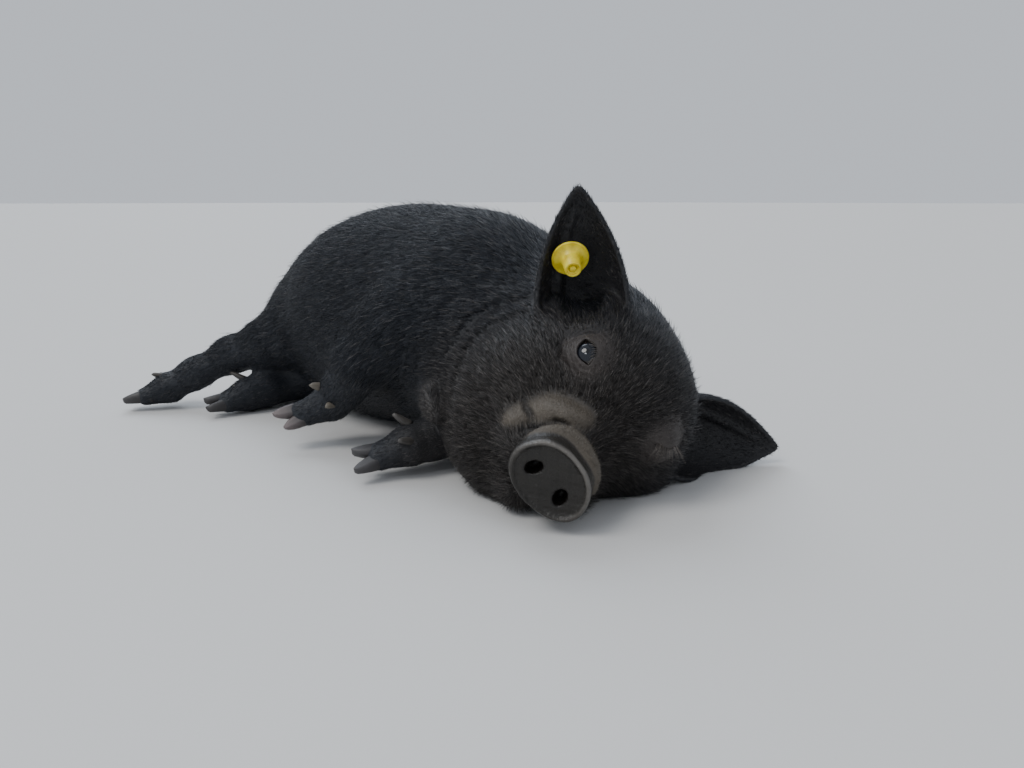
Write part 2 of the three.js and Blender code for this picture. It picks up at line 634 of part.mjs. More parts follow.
const materials = {
  hide: { color: 0x17171a, roughness: 0.62, metalness: 0 },
  eye: { color: 0x0b1016, roughness: 0.06, metalness: 0 },
  claw: { color: 0x3a3638, roughness: 0.5, metalness: 0 },
  tag: { color: 0xd8c118, roughness: 0.35, metalness: 0 },
};
const pig = new THREE.Group();
pig.name = 'kunekune_piglet';
for (const { name, solid, look } of pieces) {
  const mesh = new THREE.Mesh(untouched(solid), new THREE.MeshStandardMaterial(materials[look]));
  mesh.name = name;
  mesh.position.set(-OUTLINE_MIDDLE.x, -OUTLINE_MIDDLE.y, 0);
  pig.add(mesh);
}
export default pig;
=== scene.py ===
# A kunekune piglet at rest on its left side: one skin, its eyes, claws and ear tag, and its coat.
# Shapes are worked out in millimetres in the solids' own modelling frame, and put in metres last.
import math
from concurrent.futures import ThreadPoolExecutor

import bpy
import numpy as np
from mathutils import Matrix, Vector


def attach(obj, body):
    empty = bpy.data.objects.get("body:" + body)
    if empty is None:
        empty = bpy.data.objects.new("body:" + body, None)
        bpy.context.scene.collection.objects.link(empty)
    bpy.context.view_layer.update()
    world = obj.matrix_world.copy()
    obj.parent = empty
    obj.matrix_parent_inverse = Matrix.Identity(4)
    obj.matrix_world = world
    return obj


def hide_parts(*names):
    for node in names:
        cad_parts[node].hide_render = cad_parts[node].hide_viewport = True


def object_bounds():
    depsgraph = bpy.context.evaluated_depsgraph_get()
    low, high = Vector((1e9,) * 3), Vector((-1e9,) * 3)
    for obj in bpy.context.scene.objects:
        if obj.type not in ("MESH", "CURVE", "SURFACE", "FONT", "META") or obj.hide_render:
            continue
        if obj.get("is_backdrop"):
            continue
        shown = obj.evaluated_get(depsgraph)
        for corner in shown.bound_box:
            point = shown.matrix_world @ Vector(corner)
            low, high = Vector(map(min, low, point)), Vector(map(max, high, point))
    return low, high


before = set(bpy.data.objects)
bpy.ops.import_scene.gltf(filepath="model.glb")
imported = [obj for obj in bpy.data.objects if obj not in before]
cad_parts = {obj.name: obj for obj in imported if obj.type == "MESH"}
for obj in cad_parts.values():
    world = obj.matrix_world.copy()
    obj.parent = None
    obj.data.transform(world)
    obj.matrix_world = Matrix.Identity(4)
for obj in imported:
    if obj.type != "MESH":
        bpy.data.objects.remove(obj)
cad_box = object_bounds()

# Sizes and places as in the solids, in millimetres.
OUTLINE_MIDDLE = np.array([28.0, -38.4, 0.0])
DISC_CENTRE = np.array([205.0, -78.0, 28.0])
FACING = np.array([0.558, -0.821, -0.1])
CROWN = np.array([0.659, 0.38, 0.65])
DISC_HALF_WIDTH = 21.5
DISC_HALF_HEIGHT = 17.0
DISC_SIDE, DISC_UP_SHIFT = -1.0, -1.0
NOSTRIL_SIDE, NOSTRIL_UP, NOSTRIL_SPLAY = 9.2, -2.0, 0.35
EYE_RADIUS, EYE_PROUD = 9.2, 2.2
EYE_SIDE, EYE_BACK, EYE_UP = 29.5, -45.5, 36.5
EAR_HALF_WIDTH = 25.0
EAR_HOLLOW = 4
EAR_ROOT_SET_BACK = 0.45
EAR_BOWL_RADIUS = 15
CLAW_LENGTH, CLAW_HALF_WIDTH, CLAW_HEIGHT = 18.0, 5.0, 11.0
DEWCLAW_LENGTH, DEWCLAW_HALF_WIDTH, DEWCLAW_HEIGHT = 9.0, 3.0, 5.0
DEWCLAW_BEHIND, DEWCLAW_APART = 9.5, 7
DIGIT_ROOT_RADIUS, DIGIT_TIP_RADIUS = 7.5, 6.2
# Each ear's root and tip, the way its cup opens, and one end of its bowl.
EARS = {
    "right": {
        "base": (158, -12, 88),
        "tip": (163, -22, 157),
        "opening": (0.7, -0.7, 0.06),
        "bowl": (167, -22, 97),
    },
    "left": {
        "base": (190, 28, 26),
        "tip": (216, 93, 9),
        "opening": (0.72, -0.66, 0.1),
        "bowl": (207, 30, 26),
    },
}
# Each limb from elbow or stifle to fetlock, with radii, its claws' tips and the way its sole faces.
LIMBS = {
    "foreleg_right": {
        "line": [
            (60, -50, 79, 24), (52, -68, 69, 20), (41, -81, 55, 16.5), (28, -85, 40, 13), (19, -88, 29, 12.5),
        ],
        "toes": [(1, -120, 20), (9, -117, 13)],
        "palm": (0.62, -0.25, 0.6),
    },
    "foreleg_left": {
        "line": [(93, -32, 28, 20), (93, -50, 22, 15), (95, -66, 18.5, 12), (94, -80, 17, 12)],
        "toes": [(80, -110, 13), (90, -114, 6)],
        "palm": (0.3, 0.2, 0.9),
    },
    "hindleg_right": {
        "line": [
            (-82, -56, 62, 24), (-94, -79, 49, 18.5), (-120, -99, 38, 13), (-134, -122, 25, 11),
            (-142, -138, 15.5, 11.5),
        ],
        "toes": [(-149, -170, 6), (-156, -166, 4)],
        "palm": (-0.6, -0.2, 0.5),
    },
    "hindleg_left": {
        "line": [(-98, -44, 20, 21), (-101, -66, 17, 15), (-96, -86, 14, 12.5), (-95, -98, 12.5, 12.5)],
        "toes": [(-99, -129, 9), (-90, -130, 5)],
        "palm": (-0.5, 0.1, 0.8),
    },
}
TAIL_LINE = [(-120, 36, 62), (-146, 52, 58), (-160, 50, 44), (-158, 38, 28), (-150, 34, 16), (-146, 40, 7)]
WATTLE_LINE = [(112, -60, 56), (110, -76, 51), (115, -82, 46), (124, -84, 40)]
TAG_PLACE = (155, -19, 121)
TAG_WAY = (0.731, -0.508, -0.457)
TAG_RADIUS, TAG_PLATE, BOSS_RADIUS, BOSS_HEIGHT = 9.8, 1.6, 5.0, 10.5
PIN_RADIUS, PIN_LENGTH, TAG_GAP = 1.8, 12.0, 0.35

# Sizes that only this script names. Its ears are a little thinner than the solids' 3 mm.
EAR_THICKNESS = 2.8
CLAW_SPREAD = CLAW_HALF_WIDTH + 0.4
DEWCLAW_OUT = 6.5
COAT_DEPTH = 1.1
GRID_STEP = 1.35
FLOOR_CLEARANCE = 0.05
random = np.random.default_rng(41)


def unit(v):
    v = np.asarray(v, float)
    return v / np.linalg.norm(v)


def rows_unit(v):
    return v / np.maximum(np.linalg.norm(v, axis=1, keepdims=True), 1e-9)


def far_from(place, points):
    return np.linalg.norm(points - place, axis=1)


# The head's own frame: right, forward and crown, from the middle of the snout disc.
FORWARD = unit(FACING)
UPWARD = unit(CROWN - FORWARD * (CROWN @ FORWARD))
RIGHT = np.cross(FORWARD, UPWARD)
HEAD_BASIS = np.stack([RIGHT, FORWARD, UPWARD], 1)


def in_head(x, y, z):
    return DISC_CENTRE + HEAD_BASIS @ np.array([x, y, z], float)


def head_way(x, y, z):
    return unit(HEAD_BASIS @ np.array([x, y, z], float))


def to_head(points):
    return (points - DISC_CENTRE) @ HEAD_BASIS


# Masses: functions of an array of points that are negative inside.
def ellipsoid(centre, radii, basis=np.eye(3)):
    centre = np.asarray(centre, float)
    radii = np.asarray(radii, float)

    def mass(points):
        q = (points - centre) @ basis / radii
        reach = np.linalg.norm(q, axis=1)
        slope = np.linalg.norm(q / radii, axis=1)
        return reach * (reach - 1) / np.maximum(slope, 1e-9)

    return mass


def bone(start, end, start_radius, end_radius):
    start = np.asarray(start, float)
    run = np.asarray(end, float) - start

    def mass(points):
        q = points - start
        t = np.clip(q @ run / (run @ run), 0, 1)
        return np.linalg.norm(q - t[:, None] * run, axis=1) - (start_radius + (end_radius - start_radius) * t)

    return mass


def chain(points, radii):
    return [bone(points[i], points[i + 1], radii[i], radii[i + 1]) for i in range(len(points) - 1)]


def soft_low(d, e, softness):
    h = np.maximum(softness - np.abs(d - e), 0) / softness
    return np.minimum(d, e) - h * h * softness / 4


def soft_high(d, e, softness):
    return -soft_low(-d, -e, softness)


def blend(softness, *masses):
    def mass(points):
        d = masses[0](points)
        for other in masses[1:]:
            d = soft_low(d, other(points), softness)
        return d

    return mass


def joined(softness, lines, radii):
    """One mass of a chain along each of several lines."""
    return blend(softness, *[part for line in lines for part in chain(line, radii)])


def gated(mass, centre, reach, limit):
    """A mass worked out only near by: farther off, the distance to a ball round it stands for it."""

    def gate(points):
        d = far_from(centre, points) - reach
        close = d < limit
        if close.any():
            d[close] = mass(points[close])
        return d

    return gate


def smooth_line(points, count):
    """Points spread along a Catmull-Rom curve through a few given ones."""
    p = np.asarray(points, float)
    p = np.vstack([2 * p[0] - p[1], p, 2 * p[-1] - p[-2]])
    out = []
    for s in np.linspace(0, len(points) - 1 - 1e-9, count):
        i = int(s)
        t = s - i
        a, b, c, d = p[i : i + 4]
        curve = (2 * a - 5 * b + 4 * c - d) * t * t + (3 * b - a - 3 * c + d) * t**3
        out.append(0.5 * (2 * b + (c - a) * t + curve))
    return np.array(out)


# The trunk, the roots of the limbs and the neck.
trunk_mass = blend(
    34,
    ellipsoid((68, 2, 67), (60, 66, 65)),  # shoulders
    ellipsoid((14, 0, 71), (84, 74, 75)),  # ribs
    ellipsoid((-42, -8, 69), (72, 78, 71)),  # belly
    ellipsoid((-86, 10, 63), (58, 66, 62)),  # rump
)
upper_limbs = blend(
    24,
    bone((68, -8, 94), (60, -50, 80), 40, 25),  # right upper arm
    bone((92, -5, 34), (93, -30, 28), 30, 20),  # left upper arm
    bone((-86, -12, 80), (-84, -54, 66), 42, 25),  # right thigh
    bone((-96, -15, 38), (-102, -40, 22), 38, 20),  # left thigh
)
neck_mass = blend(
    26,
    bone((80, 6, 66), (140, 4, 58), 58, 54),  # nape
    bone((108, -34, 46), (146, -38, 38), 40, 36),  # throat
)


# The head.
def head_part(x, y, z, radii):
    return ellipsoid(in_head(x, y, z), radii, HEAD_BASIS)


skull_mass = blend(
    20,
    head_part(0, -84, 12, (51, 44, 50)),  # cranium
    head_part(0, -66, 24, (36, 32, 30)),  # forehead
    head_part(34, -70, -12, (29, 34, 32)),  # right cheek
    head_part(-34, -84, -12, (28, 30, 34)),  # left cheek
    head_part(0, -66, -34, (38, 32, 27)),  # throat and lower jaw
    head_part(24, -58, -38, (26, 28, 24)),  # right jowl
)
muzzle_flare = head_part(-1, -15, -1, (19.2, 17, 15.4))
FLARE_FRONT = -4.0


def cut_flare(points):
    """The muzzle's flare towards the disc, cut off behind the disc's face."""
    return soft_high(muzzle_flare(points), to_head(points)[:, 1] - FLARE_FRONT, 2)


muzzle_mass = blend(
    10,
    bone(in_head(0, -54, 0), in_head(0, -22, 0), 30, 17.5),  # bridge and muzzle
    bone(in_head(0, -56, -30), in_head(2, -24, -26), 25, 13),  # chin
    head_part(17, -32, -12, (15, 20, 13)),  # right lip
    head_part(-17, -32, -12, (13, 18, 12)),  # left lip
    cut_flare,
)
bare_head = blend(14, skull_mass, muzzle_mass)


def ear_frame(shape):
    base, tip = (np.asarray(shape[k], float) for k in ("base", "tip"))
    axis = unit(tip - base)
    front = unit(unit(shape["opening"]) - axis * (unit(shape["opening"]) @ axis))
    return base, axis, front, np.cross(front, axis), np.linalg.norm(tip - base)


def ear_width(u):
    return EAR_HALF_WIDTH * np.maximum(0.05, 0.9 + 0.36 * u - 1.21 * u * u)


def ear_bend(u):
    return 1.75 - 0.95 * u


def ear_radius(u):
    return ear_width(u) / np.sin(np.minimum(ear_bend(u), np.pi / 2))


def ear_back(u):
    return -EAR_HOLLOW * np.sin(np.pi * u) - EAR_ROOT_SET_BACK * EAR_HALF_WIDTH * (1 - u)


def ear_section(shape, points):
    """How far along an ear points are, as a length and a share, and where they are in its section."""
    base, axis, front, across, length = ear_frame(shape)
    q = points - base
    along = q @ axis
    u = np.clip(along / length, 0, 1)
    return along, length, u, q @ across, q @ front - (ear_back(u) + ear_radius(u))


def ear_mass(shape):
    def mass(points):
        along, length, u, x, y = ear_section(shape, points)
        radius = ear_radius(u)
        turn = np.abs(np.arctan2(x, -y))
        thick = EAR_THICKNESS * (1 - 0.1 * u)
        shell = np.abs(np.hypot(x, y) - radius) - thick / 2
        d = soft_high(shell, (turn - ear_bend(u)) * radius, 1.6)
        d = soft_high(d, along - length, 2.0)
        return soft_high(d, -along - 10, 2.0)

    return mass


def ear_point(shape, u, turn, lift):
    """A place on an ear: along it, round its section and in front of its inner face."""
    base, axis, front, across, length = ear_frame(shape)
    radius = ear_radius(u)
    reach = radius - EAR_THICKNESS / 2 - lift
    middle = base + axis * length * u + front * (ear_back(u) + radius)
    return middle + across * reach * math.sin(turn) - front * reach * math.cos(turn)


def bowl_mass(shape):
    base, tip = (np.asarray(shape[k], float) for k in ("base", "tip"))
    return bone(shape["bowl"], base + 0.3 * (tip - base), EAR_BOWL_RADIUS * 0.7, EAR_BOWL_RADIUS)


# The limbs below the trunk.
def limb_line(limb):
    return [np.array(p[:3], float) for p in limb["line"]]


def limb_radii(limb):
    return [p[3] for p in limb["line"]]


def limb_masses(limb):
    masses = chain(limb_line(limb), limb_radii(limb))
    fetlock = limb_line(limb)[-1]
    for root, way, _, _ in digit_frames(limb):
        start = fetlock * 0.8 + root * 0.2
        masses.append(bone(start, root + way * 3, DIGIT_ROOT_RADIUS, DIGIT_TIP_RADIUS))
    return masses


def digit_frames(limb):
    """Root, pointing, side and lift of each of a foot's two claws."""
    fetlock = limb_line(limb)[-1]
    tips = [np.array(t, float) for t in limb["toes"]]
    palm = unit(limb["palm"])
    parting = unit(tips[0] - tips[1])
    frames = []
    for sign, tip in ((1, tips[0]), (-1, tips[1])):
        way = unit(tip - fetlock)
        root = tip - way * CLAW_LENGTH
        middle = (tips[0] + tips[1]) / 2 - way * CLAW_LENGTH
        root = root * 0.2 + (middle + parting * sign * CLAW_SPREAD) * 0.8
        frames.append((root, way, parting * sign, -palm))
    return frames


def limb_mass(limb):
    places = limb_line(limb) + [np.array(t, float) for t in limb["toes"]]
    middle = (np.min(places, 0) + np.max(places, 0)) / 2
    reach = max(np.linalg.norm(p - middle) for p in places)
    return gated(blend(9, *limb_masses(limb)), middle, reach, 34)


tail_points = smooth_line(TAIL_LINE, 12)
tail_radii = [6.0 - 3.4 * i / 11 for i in range(12)]
wattle_points = smooth_line(WATTLE_LINE, 9)
wattle_radii = [3.0, 3.2, 3.7, 4.2, 4.6, 4.8, 4.8, 4.5, 3.6]
head_middle = in_head(0, -55, 5)
legs_mass = blend(9, *[limb_mass(limb) for limb in LIMBS.values()])
body_mass = blend(24, trunk_mass, upper_limbs)
tail_mass = gated(joined(2, [tail_points], tail_radii), tail_points[6], 35, 20)
wattle_mass = gated(joined(2, [wattle_points], wattle_radii), wattle_points[4], 28, 20)


# Working out where a mass's surface is.
def slope(mass, points, value, reach=0.3):
    """The mass's slope at points where its value is known."""
    out = np.empty_like(points)
    for k in range(3):
        shift = np.zeros(3)
        shift[k] = reach
        out[:, k] = (mass(points + shift) - value) / reach
    return out


CHUNK = 12000


def in_parts(task, points):
    """Runs a task over an array of points in parts, side by side, and joins the answers."""
    parts = np.array_split(points, max(1, math.ceil(len(points) / CHUNK)))
    with ThreadPoolExecutor(4) as pool:
        return np.concatenate(list(pool.map(task, parts)))


def settled(mass, points, passes, limit):
    """Points drawn along the mass's slope onto its surface."""

    def settle(part):
        part = part.copy()
        for _ in range(passes):
            value = mass(part)
            g = slope(mass, part, value)
            move = -g * (value / np.maximum((g * g).sum(1), 1e-4))[:, None]
            far = np.linalg.norm(move, axis=1, keepdims=True)
            part += move * np.minimum(1, limit / np.maximum(far, 1e-9))
        return part

    return in_parts(settle, points)


# The big fold on the right of the bridge, and the thinner ridge close behind the disc.
BIG_FOLD = [(29, -23, -6), (27, -26, -1), (25, -27, 4), (22, -28, 10), (16, -26, 17), (8, -27, 21)]
BIG_FOLD_RADII = [3.6, 4.6, 4.4, 7.0, 6.2, 3.4]
THIN_FOLD = [
    (21, -9, 2), (17, -12, 10), (10, -14, 16.5), (2, -13, 19.5), (-7, -12, 18.5), (-14, -13, 13),
    (-19, -15, 5),
]
THIN_FOLD_RADII = [2.6, 3.4, 3.8, 3.8, 3.6, 3.4, 2.6]


def fold(places, radii, rise):
    """A rounded fold along places put on the bare head, its middle risen by a part of its radius."""
    on_head = settled(bare_head, np.array([in_head(*p) for p in places]), 6, 8)
    out = rows_unit(slope(bare_head, on_head, bare_head(on_head)))
    line = smooth_line(on_head + out * np.array(radii)[:, None] * rise, 25)
    thick = np.interp(np.linspace(0, len(radii) - 1, 25), np.arange(len(radii)), radii)
    return blend(1.5, *chain(line, thick))


both_folds = blend(2.5, fold(BIG_FOLD, BIG_FOLD_RADII, -0.3), fold(THIN_FOLD, THIN_FOLD_RADII, -0.1))
folds_mass = gated(both_folds, in_head(6, -18, 10), 34, 16)
head_mass = blend(4, bare_head, folds_mass)
front_mass = gated(blend(18, neck_mass, head_mass), in_head(0, -75, 5), 125, 40)
trunk_and_head = blend(18, body_mass, front_mass)


def plain_flesh(points):
    """The flesh before lids, lips and nostrils, drawn in by the depth of the coat."""
    body = body_mass(points)
    d = np.minimum(soft_low(body, front_mass(points), 18), soft_low(body, legs_mass(points), 12)) + COAT_DEPTH
    d = soft_low(d, tail_mass(points) + 0.4, 5)
    return soft_low(d, wattle_mass(points) + 0.4, 5)


# The eyes: each ball is set just under the skin, and its lids close round it.
def eye_way(side):
    return head_way(side * 0.5, 0.75, 0.43)


def on_flesh(*places):
    """Places of the head's frame, put on the skin."""
    return settled(plain_flesh, np.array([in_head(*p) for p in places]), 5, 6)


EYES = {}
EYE_SIDES = {"right": 1, "left": -1}
EYE_OPENINGS = {"right": (7.1, 4.7), "left": (7.6, 0.35)}
for eye_name, eye_side in EYE_SIDES.items():
    way = eye_way(eye_side)
    fissure = head_way(eye_side * 0.75, -0.56, 0.35)
    fissure = unit(fissure - way * (fissure @ way))
    start = in_head(eye_side * EYE_SIDE, EYE_BACK, EYE_UP)[None]
    EYES[eye_name] = {
        "centre": settled(trunk_and_head, start, 6, 10)[0] + way * (EYE_PROUD - EYE_RADIUS),
        "basis": np.stack([fissure, np.cross(way, fissure), way], 1),
        "opening": EYE_OPENINGS[eye_name],
        "low": eye_side,
    }


def in_eye(eye, points):
    """Along the gap between the lids, down from it and out of the eye."""
    return (points - eye["centre"]) @ eye["basis"] * np.array([1, eye["low"], 1])


def lids_mass(eye):
    """A cap over the ball, thick at the lids' edges."""
    return ellipsoid(eye["centre"], (EYE_RADIUS + 1.7, EYE_RADIUS + 1.9, EYE_RADIUS + 1.2), eye["basis"])


def gap_mass(eye):
    """The gap between the lids: an almond, drawn through the cap, that bows down a little."""
    half_length, half_height = eye["opening"]

    def mass(points):
        q = in_eye(eye, points)
        share = np.clip(np.abs(q[:, 0] / half_length), 0, 2)
        bow = 1.2 * (1 - share**2) if half_height < 1 else 0.0
        arch = half_height * (1 - share**2.1)
        return np.maximum(np.abs(q[:, 1] - bow) - arch, 3 - q[:, 2]) * 0.8

    return mass


def lid_wrinkles(eye, points):
    """Fine rings round the gap, deeper under the eye."""
    q = in_eye(eye, points)
    ring = np.hypot(q[:, 0] / 1.35, q[:, 1] + 1) - eye["opening"][1] - 1
    under = 0.1 + 0.24 * np.clip(0.5 + q[:, 1] / 8, 0, 1)
    depth = under * np.exp(-np.maximum(ring, 0) / 6) * np.clip(ring / 1.5, 0, 1)
    return depth * np.cos(2 * np.pi * ring / 2.5 + 1.1 * np.sin(q[:, 0] * 0.45 + q[:, 1] * 0.3))


# Each pouch under an eye, its outer crease, and the creases of the bridge, cheek and neck.
POUCH = [(38.5, -48, 31), (34, -44.5, 29), (28.5, -42, 31)]
POUCH_CREASE = [(42.5, -51, 31), (40.4, -47.8, 26.9), (36.2, -43.6, 25.1), (30, -41, 27), (25, -40.6, 33)]
BRIDGE_CREASES = [
    [
        (24, -15, -2), (23, -17, 4), (19, -20, 11), (13, -20, 17), (4, -19, 21), (-7, -18, 20),
        (-16, -20, 15), (-22, -24, 6),
    ],
    [(32, -30, 2), (29, -26, 2), (26, -23, 3), (22, -18, 4)],
]
NECK_CREASES = [
    [(58, -72, 27), (65, -71, 14), (70, -70, -1), (69, -61, -15), (60, -48, -29), (48, -38, -39)],
    [(68, -83, 20), (75, -83, 7), (79, -79, -6), (78, -72, -18), (74, -65, -30)],
]


def mirrored(places, side):
    return [(x * side, y, z) for x, y, z in places]


pouches = [on_flesh(*mirrored(POUCH, side)) - eye_way(side) * 1.6 for side in EYE_SIDES.values()]
pouch_mass = joined(1.5, pouches, [1.9, 2.5, 2.0])
under_pouches = [on_flesh(*mirrored(POUCH_CREASE, side)) for side in EYE_SIDES.values()]
pouch_crease = joined(1.0, under_pouches, [0.2, 0.7, 0.9, 0.8, 0.3])
bridge_lines = [smooth_line(on_flesh(*line), 17) for line in BRIDGE_CREASES]
bridge_creases = joined(1.0, bridge_lines, [0.3] + [0.8] * 15 + [0.3])
neck_lines = [smooth_line(on_flesh(*line), 9) for line in NECK_CREASES]
neck_creases = joined(2.0, neck_lines, [0.4] + [1.4] * 7 + [0.4])

HALF_MOUTH = [(13, -20, -18.5), (25, -35, -17), (31, -49, -13)]
MOUTH_LINE = mirrored(HALF_MOUTH[::-1], -1) + [(0, -13, -19)] + HALF_MOUTH
mouth_points = smooth_line([in_head(*p) for p in MOUTH_LINE], 19)
mouth_mass = joined(1.0, [mouth_points], [0.7] * 3 + [1.2] * 13 + [0.7] * 3)

# The disc: a tilted plate with a raised rim, dished in the middle, and two nostrils.
DISC_WAY = head_way(0, 1, 0.1)
DISC_UP = unit(UPWARD - DISC_WAY * (UPWARD @ DISC_WAY))
DISC_RIGHT = np.cross(DISC_WAY, DISC_UP)
DISC_BASIS = np.stack([DISC_RIGHT, DISC_UP, DISC_WAY], 1)
disc_middle = in_head(DISC_SIDE, 0, DISC_UP_SHIFT)


def in_disc(points):
    return (points - disc_middle) @ DISC_BASIS


def disc_share(points):
    """How far out on the disc a point is: 0 at its middle and 1 at its edge."""
    q = in_disc(points)
    return np.hypot(q[:, 0] / DISC_HALF_WIDTH, q[:, 1] / DISC_HALF_HEIGHT)


def disc_outline(q):
    """How far out the disc's edge is at each angle: notched above and below, and a little uneven."""
    angle = np.arctan2(q[:, 1] / DISC_HALF_HEIGHT, q[:, 0] / DISC_HALF_WIDTH)
    top_notch = 0.035 * np.exp(-((angle - math.pi / 2) / 0.35) ** 2)
    low_notch = 0.05 * np.exp(-((angle + math.pi / 2) / 0.5) ** 2)
    return 1 - top_notch - low_notch - 0.02 * np.sin(3 * angle + 0.8) - 0.012 * np.sin(5 * angle)


def disc_mass(points):
    q = in_disc(points)
    share = disc_share(points) / disc_outline(q)
    edge = (share - 1) * 0.5 * (DISC_HALF_WIDTH + DISC_HALF_HEIGHT)
    rim = 1.3 * np.exp(-(((share - 0.93) / 0.075) ** 2)) - 1.2 * np.clip(1 - share**2, 0, 1)
    rim = rim + 0.5 * np.exp(-((q[:, 0] / 3.5) ** 2)) * np.clip(1 - share, 0, 1)
    dents = 0.22 * np.sin(q[:, 0] * 0.62 + 1) * np.sin(q[:, 1] * 0.7)
    dents += 0.1 * np.sin(q[:, 0] * 1.5) * np.sin(q[:, 1] * 1.7)
    front = q[:, 2] - rim - dents
    return soft_high(soft_high(edge, front, 2.6), -q[:, 2] - 9, 2)


def nostril_mass(side):
    turn = side * NOSTRIL_SPLAY
    across = DISC_RIGHT * math.cos(turn) + DISC_UP * math.sin(turn)
    upward = np.cross(DISC_WAY, across)
    place = disc_middle + DISC_RIGHT * side * NOSTRIL_SIDE + DISC_UP * NOSTRIL_UP + DISC_WAY * 0.5
    return ellipsoid(place, (3.0, 4.3, 9.0), np.stack([across, upward, DISC_WAY], 1))


nostril_masses = [nostril_mass(side) for side in (-1, 1)]
tag_way = unit(TAG_WAY)
swelling_mass = bone(
    np.array(TAG_PLACE) - tag_way * (PIN_LENGTH - 1),
    np.array(TAG_PLACE) - tag_way * 2.5,
    TAG_RADIUS - 2.2,
    TAG_RADIUS - 4.5,
)
ear_masses = [
    blend(4, ear_mass(EARS["right"]), swelling_mass),
    ear_mass(EARS["left"]),
]
bowl_masses = [bowl_mass(shape) for shape in EARS.values()]
EAR_RIDGES = [(0.05, 0.75), (0.3, 0.6), (0.55, 0.45), (0.8, 0.25)]
ear_ridges = [[ear_point(shape, u, turn, -0.4) for u, turn in EAR_RIDGES] for shape in EARS.values()]
ridge_mass = joined(2, ear_ridges, [2.2, 2.0, 1.6, 1.0])
lid_masses = [(lids_mass(eye), gap_mass(eye)) for eye in EYES.values()]


def near(points, centre, radius):
    return far_from(centre, points) < radius


def flesh(points):
    """The whole surface of the animal, down to the lids, lips, disc and ears."""
    d = plain_flesh(points)
    close = near(points, head_middle, 150) & (d < 90)
    if close.any():
        p = points[close]
        h = d[close]
        h = soft_low(h, pouch_mass(p), 2)
        h = soft_high(h, -pouch_crease(p), 2)
        h = soft_high(h, -neck_creases(p), 5)
        h = soft_high(h, -bridge_creases(p), 2.2)
        for bowl in bowl_masses:
            h = soft_high(h, -bowl(p), 5)
        for ear in ear_masses:
            h = soft_low(h, ear(p), 4)
        h = soft_low(h, ridge_mass(p), 2.5)
        h = soft_low(h, disc_mass(p), 2.2)
        for eye, (lids, gap) in zip(EYES.values(), lid_masses):
            around = near(p, eye["centre"], 24)
            if around.any():
                e = p[around]
                s = soft_low(h[around], lids(e), 4) - lid_wrinkles(eye, e)
                h[around] = soft_high(s, -gap(e), 0.8)
        h = soft_high(h, -mouth_mass(p), 2.0)
        for nostril in nostril_masses:
            h = soft_high(h, -nostril(p), 1.6)
        d[close] = h
    return np.maximum(d, -points[:, 2])


# One skin from the mass: a vertex in each cell that the surface crosses, a quad round each edge.
CORNERS = [(i & 1, (i >> 1) & 1, (i >> 2) & 1) for i in range(8)]
CELL_EDGES = [(a, a | b) for a in range(8) for b in (1, 2, 4) if not a & b]
BLOCK = 4


def grid_points(low, counts, step):
    axes = [low[k] + step * np.arange(counts[k]) for k in range(3)]
    return np.stack(np.meshgrid(*axes, indexing="ij"), -1).reshape(-1, 3)


def shifted(grid, corner, counts):
    """The grid's values at one corner of each of its cells."""
    return grid[tuple(slice(c, c + n) for c, n in zip(corner, counts))]


def surface_of(mass, low, high, step):
    """Coarse blocks show where the surface may be, and only those are worked out finely."""
    blocks = np.ceil((high - low) / (step * BLOCK)).astype(int)
    rough = in_parts(mass, grid_points(low, blocks + 1, step * BLOCK)).reshape(blocks + 1)
    lows = np.full(blocks, 1e9)
    for corner in CORNERS:
        lows = np.minimum(lows, np.abs(shifted(rough, corner, blocks)))
    crossing = lows < step * BLOCK * 1.5
    counts = blocks * BLOCK + 1
    index = [np.minimum(np.arange(counts[k]) // BLOCK, blocks[k] - 1) for k in range(3)]
    cells = np.ix_(*index)
    value = np.where(rough[:-1, :-1, :-1][cells] < 0, -1.0, 1.0)
    fine = crossing[cells]
    where = np.argwhere(fine)
    value[fine] = in_parts(mass, low + step * where)
    inside = value < 0
    total = np.zeros(counts - 1, int)
    for corner in CORNERS:
        total += shifted(inside, corner, counts - 1)
    active = (total > 0) & (total < 8)
    cell = np.argwhere(active)
    number = np.full(active.shape, -1)
    number[active] = np.arange(len(cell))
    place = np.zeros((len(cell), 3))
    hits = np.zeros(len(cell))
    for a, b in CELL_EDGES:
        pa, pb = np.array(CORNERS[a]), np.array(CORNERS[b])
        va = value[tuple((cell + pa).T)]
        vb = value[tuple((cell + pb).T)]
        cross = (va < 0) != (vb < 0)
        t = va[cross] / (va[cross] - vb[cross])
        place[cross] += pa + t[:, None] * (pb - pa)
        hits[cross] += 1
    points = low + step * (cell + place / hits[:, None])
    quads = []
    for axis in range(3):
        step_to, u, w = (np.eye(3, dtype=int)[(axis + turn) % 3] for turn in range(3))
        first = [slice(1, None)] * 3
        first[axis] = slice(0, -1)
        second = [slice(1, None)] * 3
        second[axis] = slice(1, None)
        change = inside[tuple(first)] != inside[tuple(second)]
        at = np.argwhere(change) + (1 - step_to)
        at = at[(at < counts - 1).all(1)]
        ring = [number[tuple((at - u * i - w * j).T)] for i, j in ((0, 0), (1, 0), (1, 1), (0, 1))]
        ring = np.stack(ring, 1)
        out = inside[tuple(at.T)]
        ring[~out] = ring[~out][:, ::-1]
        quads.append(ring)
    return points, np.concatenate(quads)


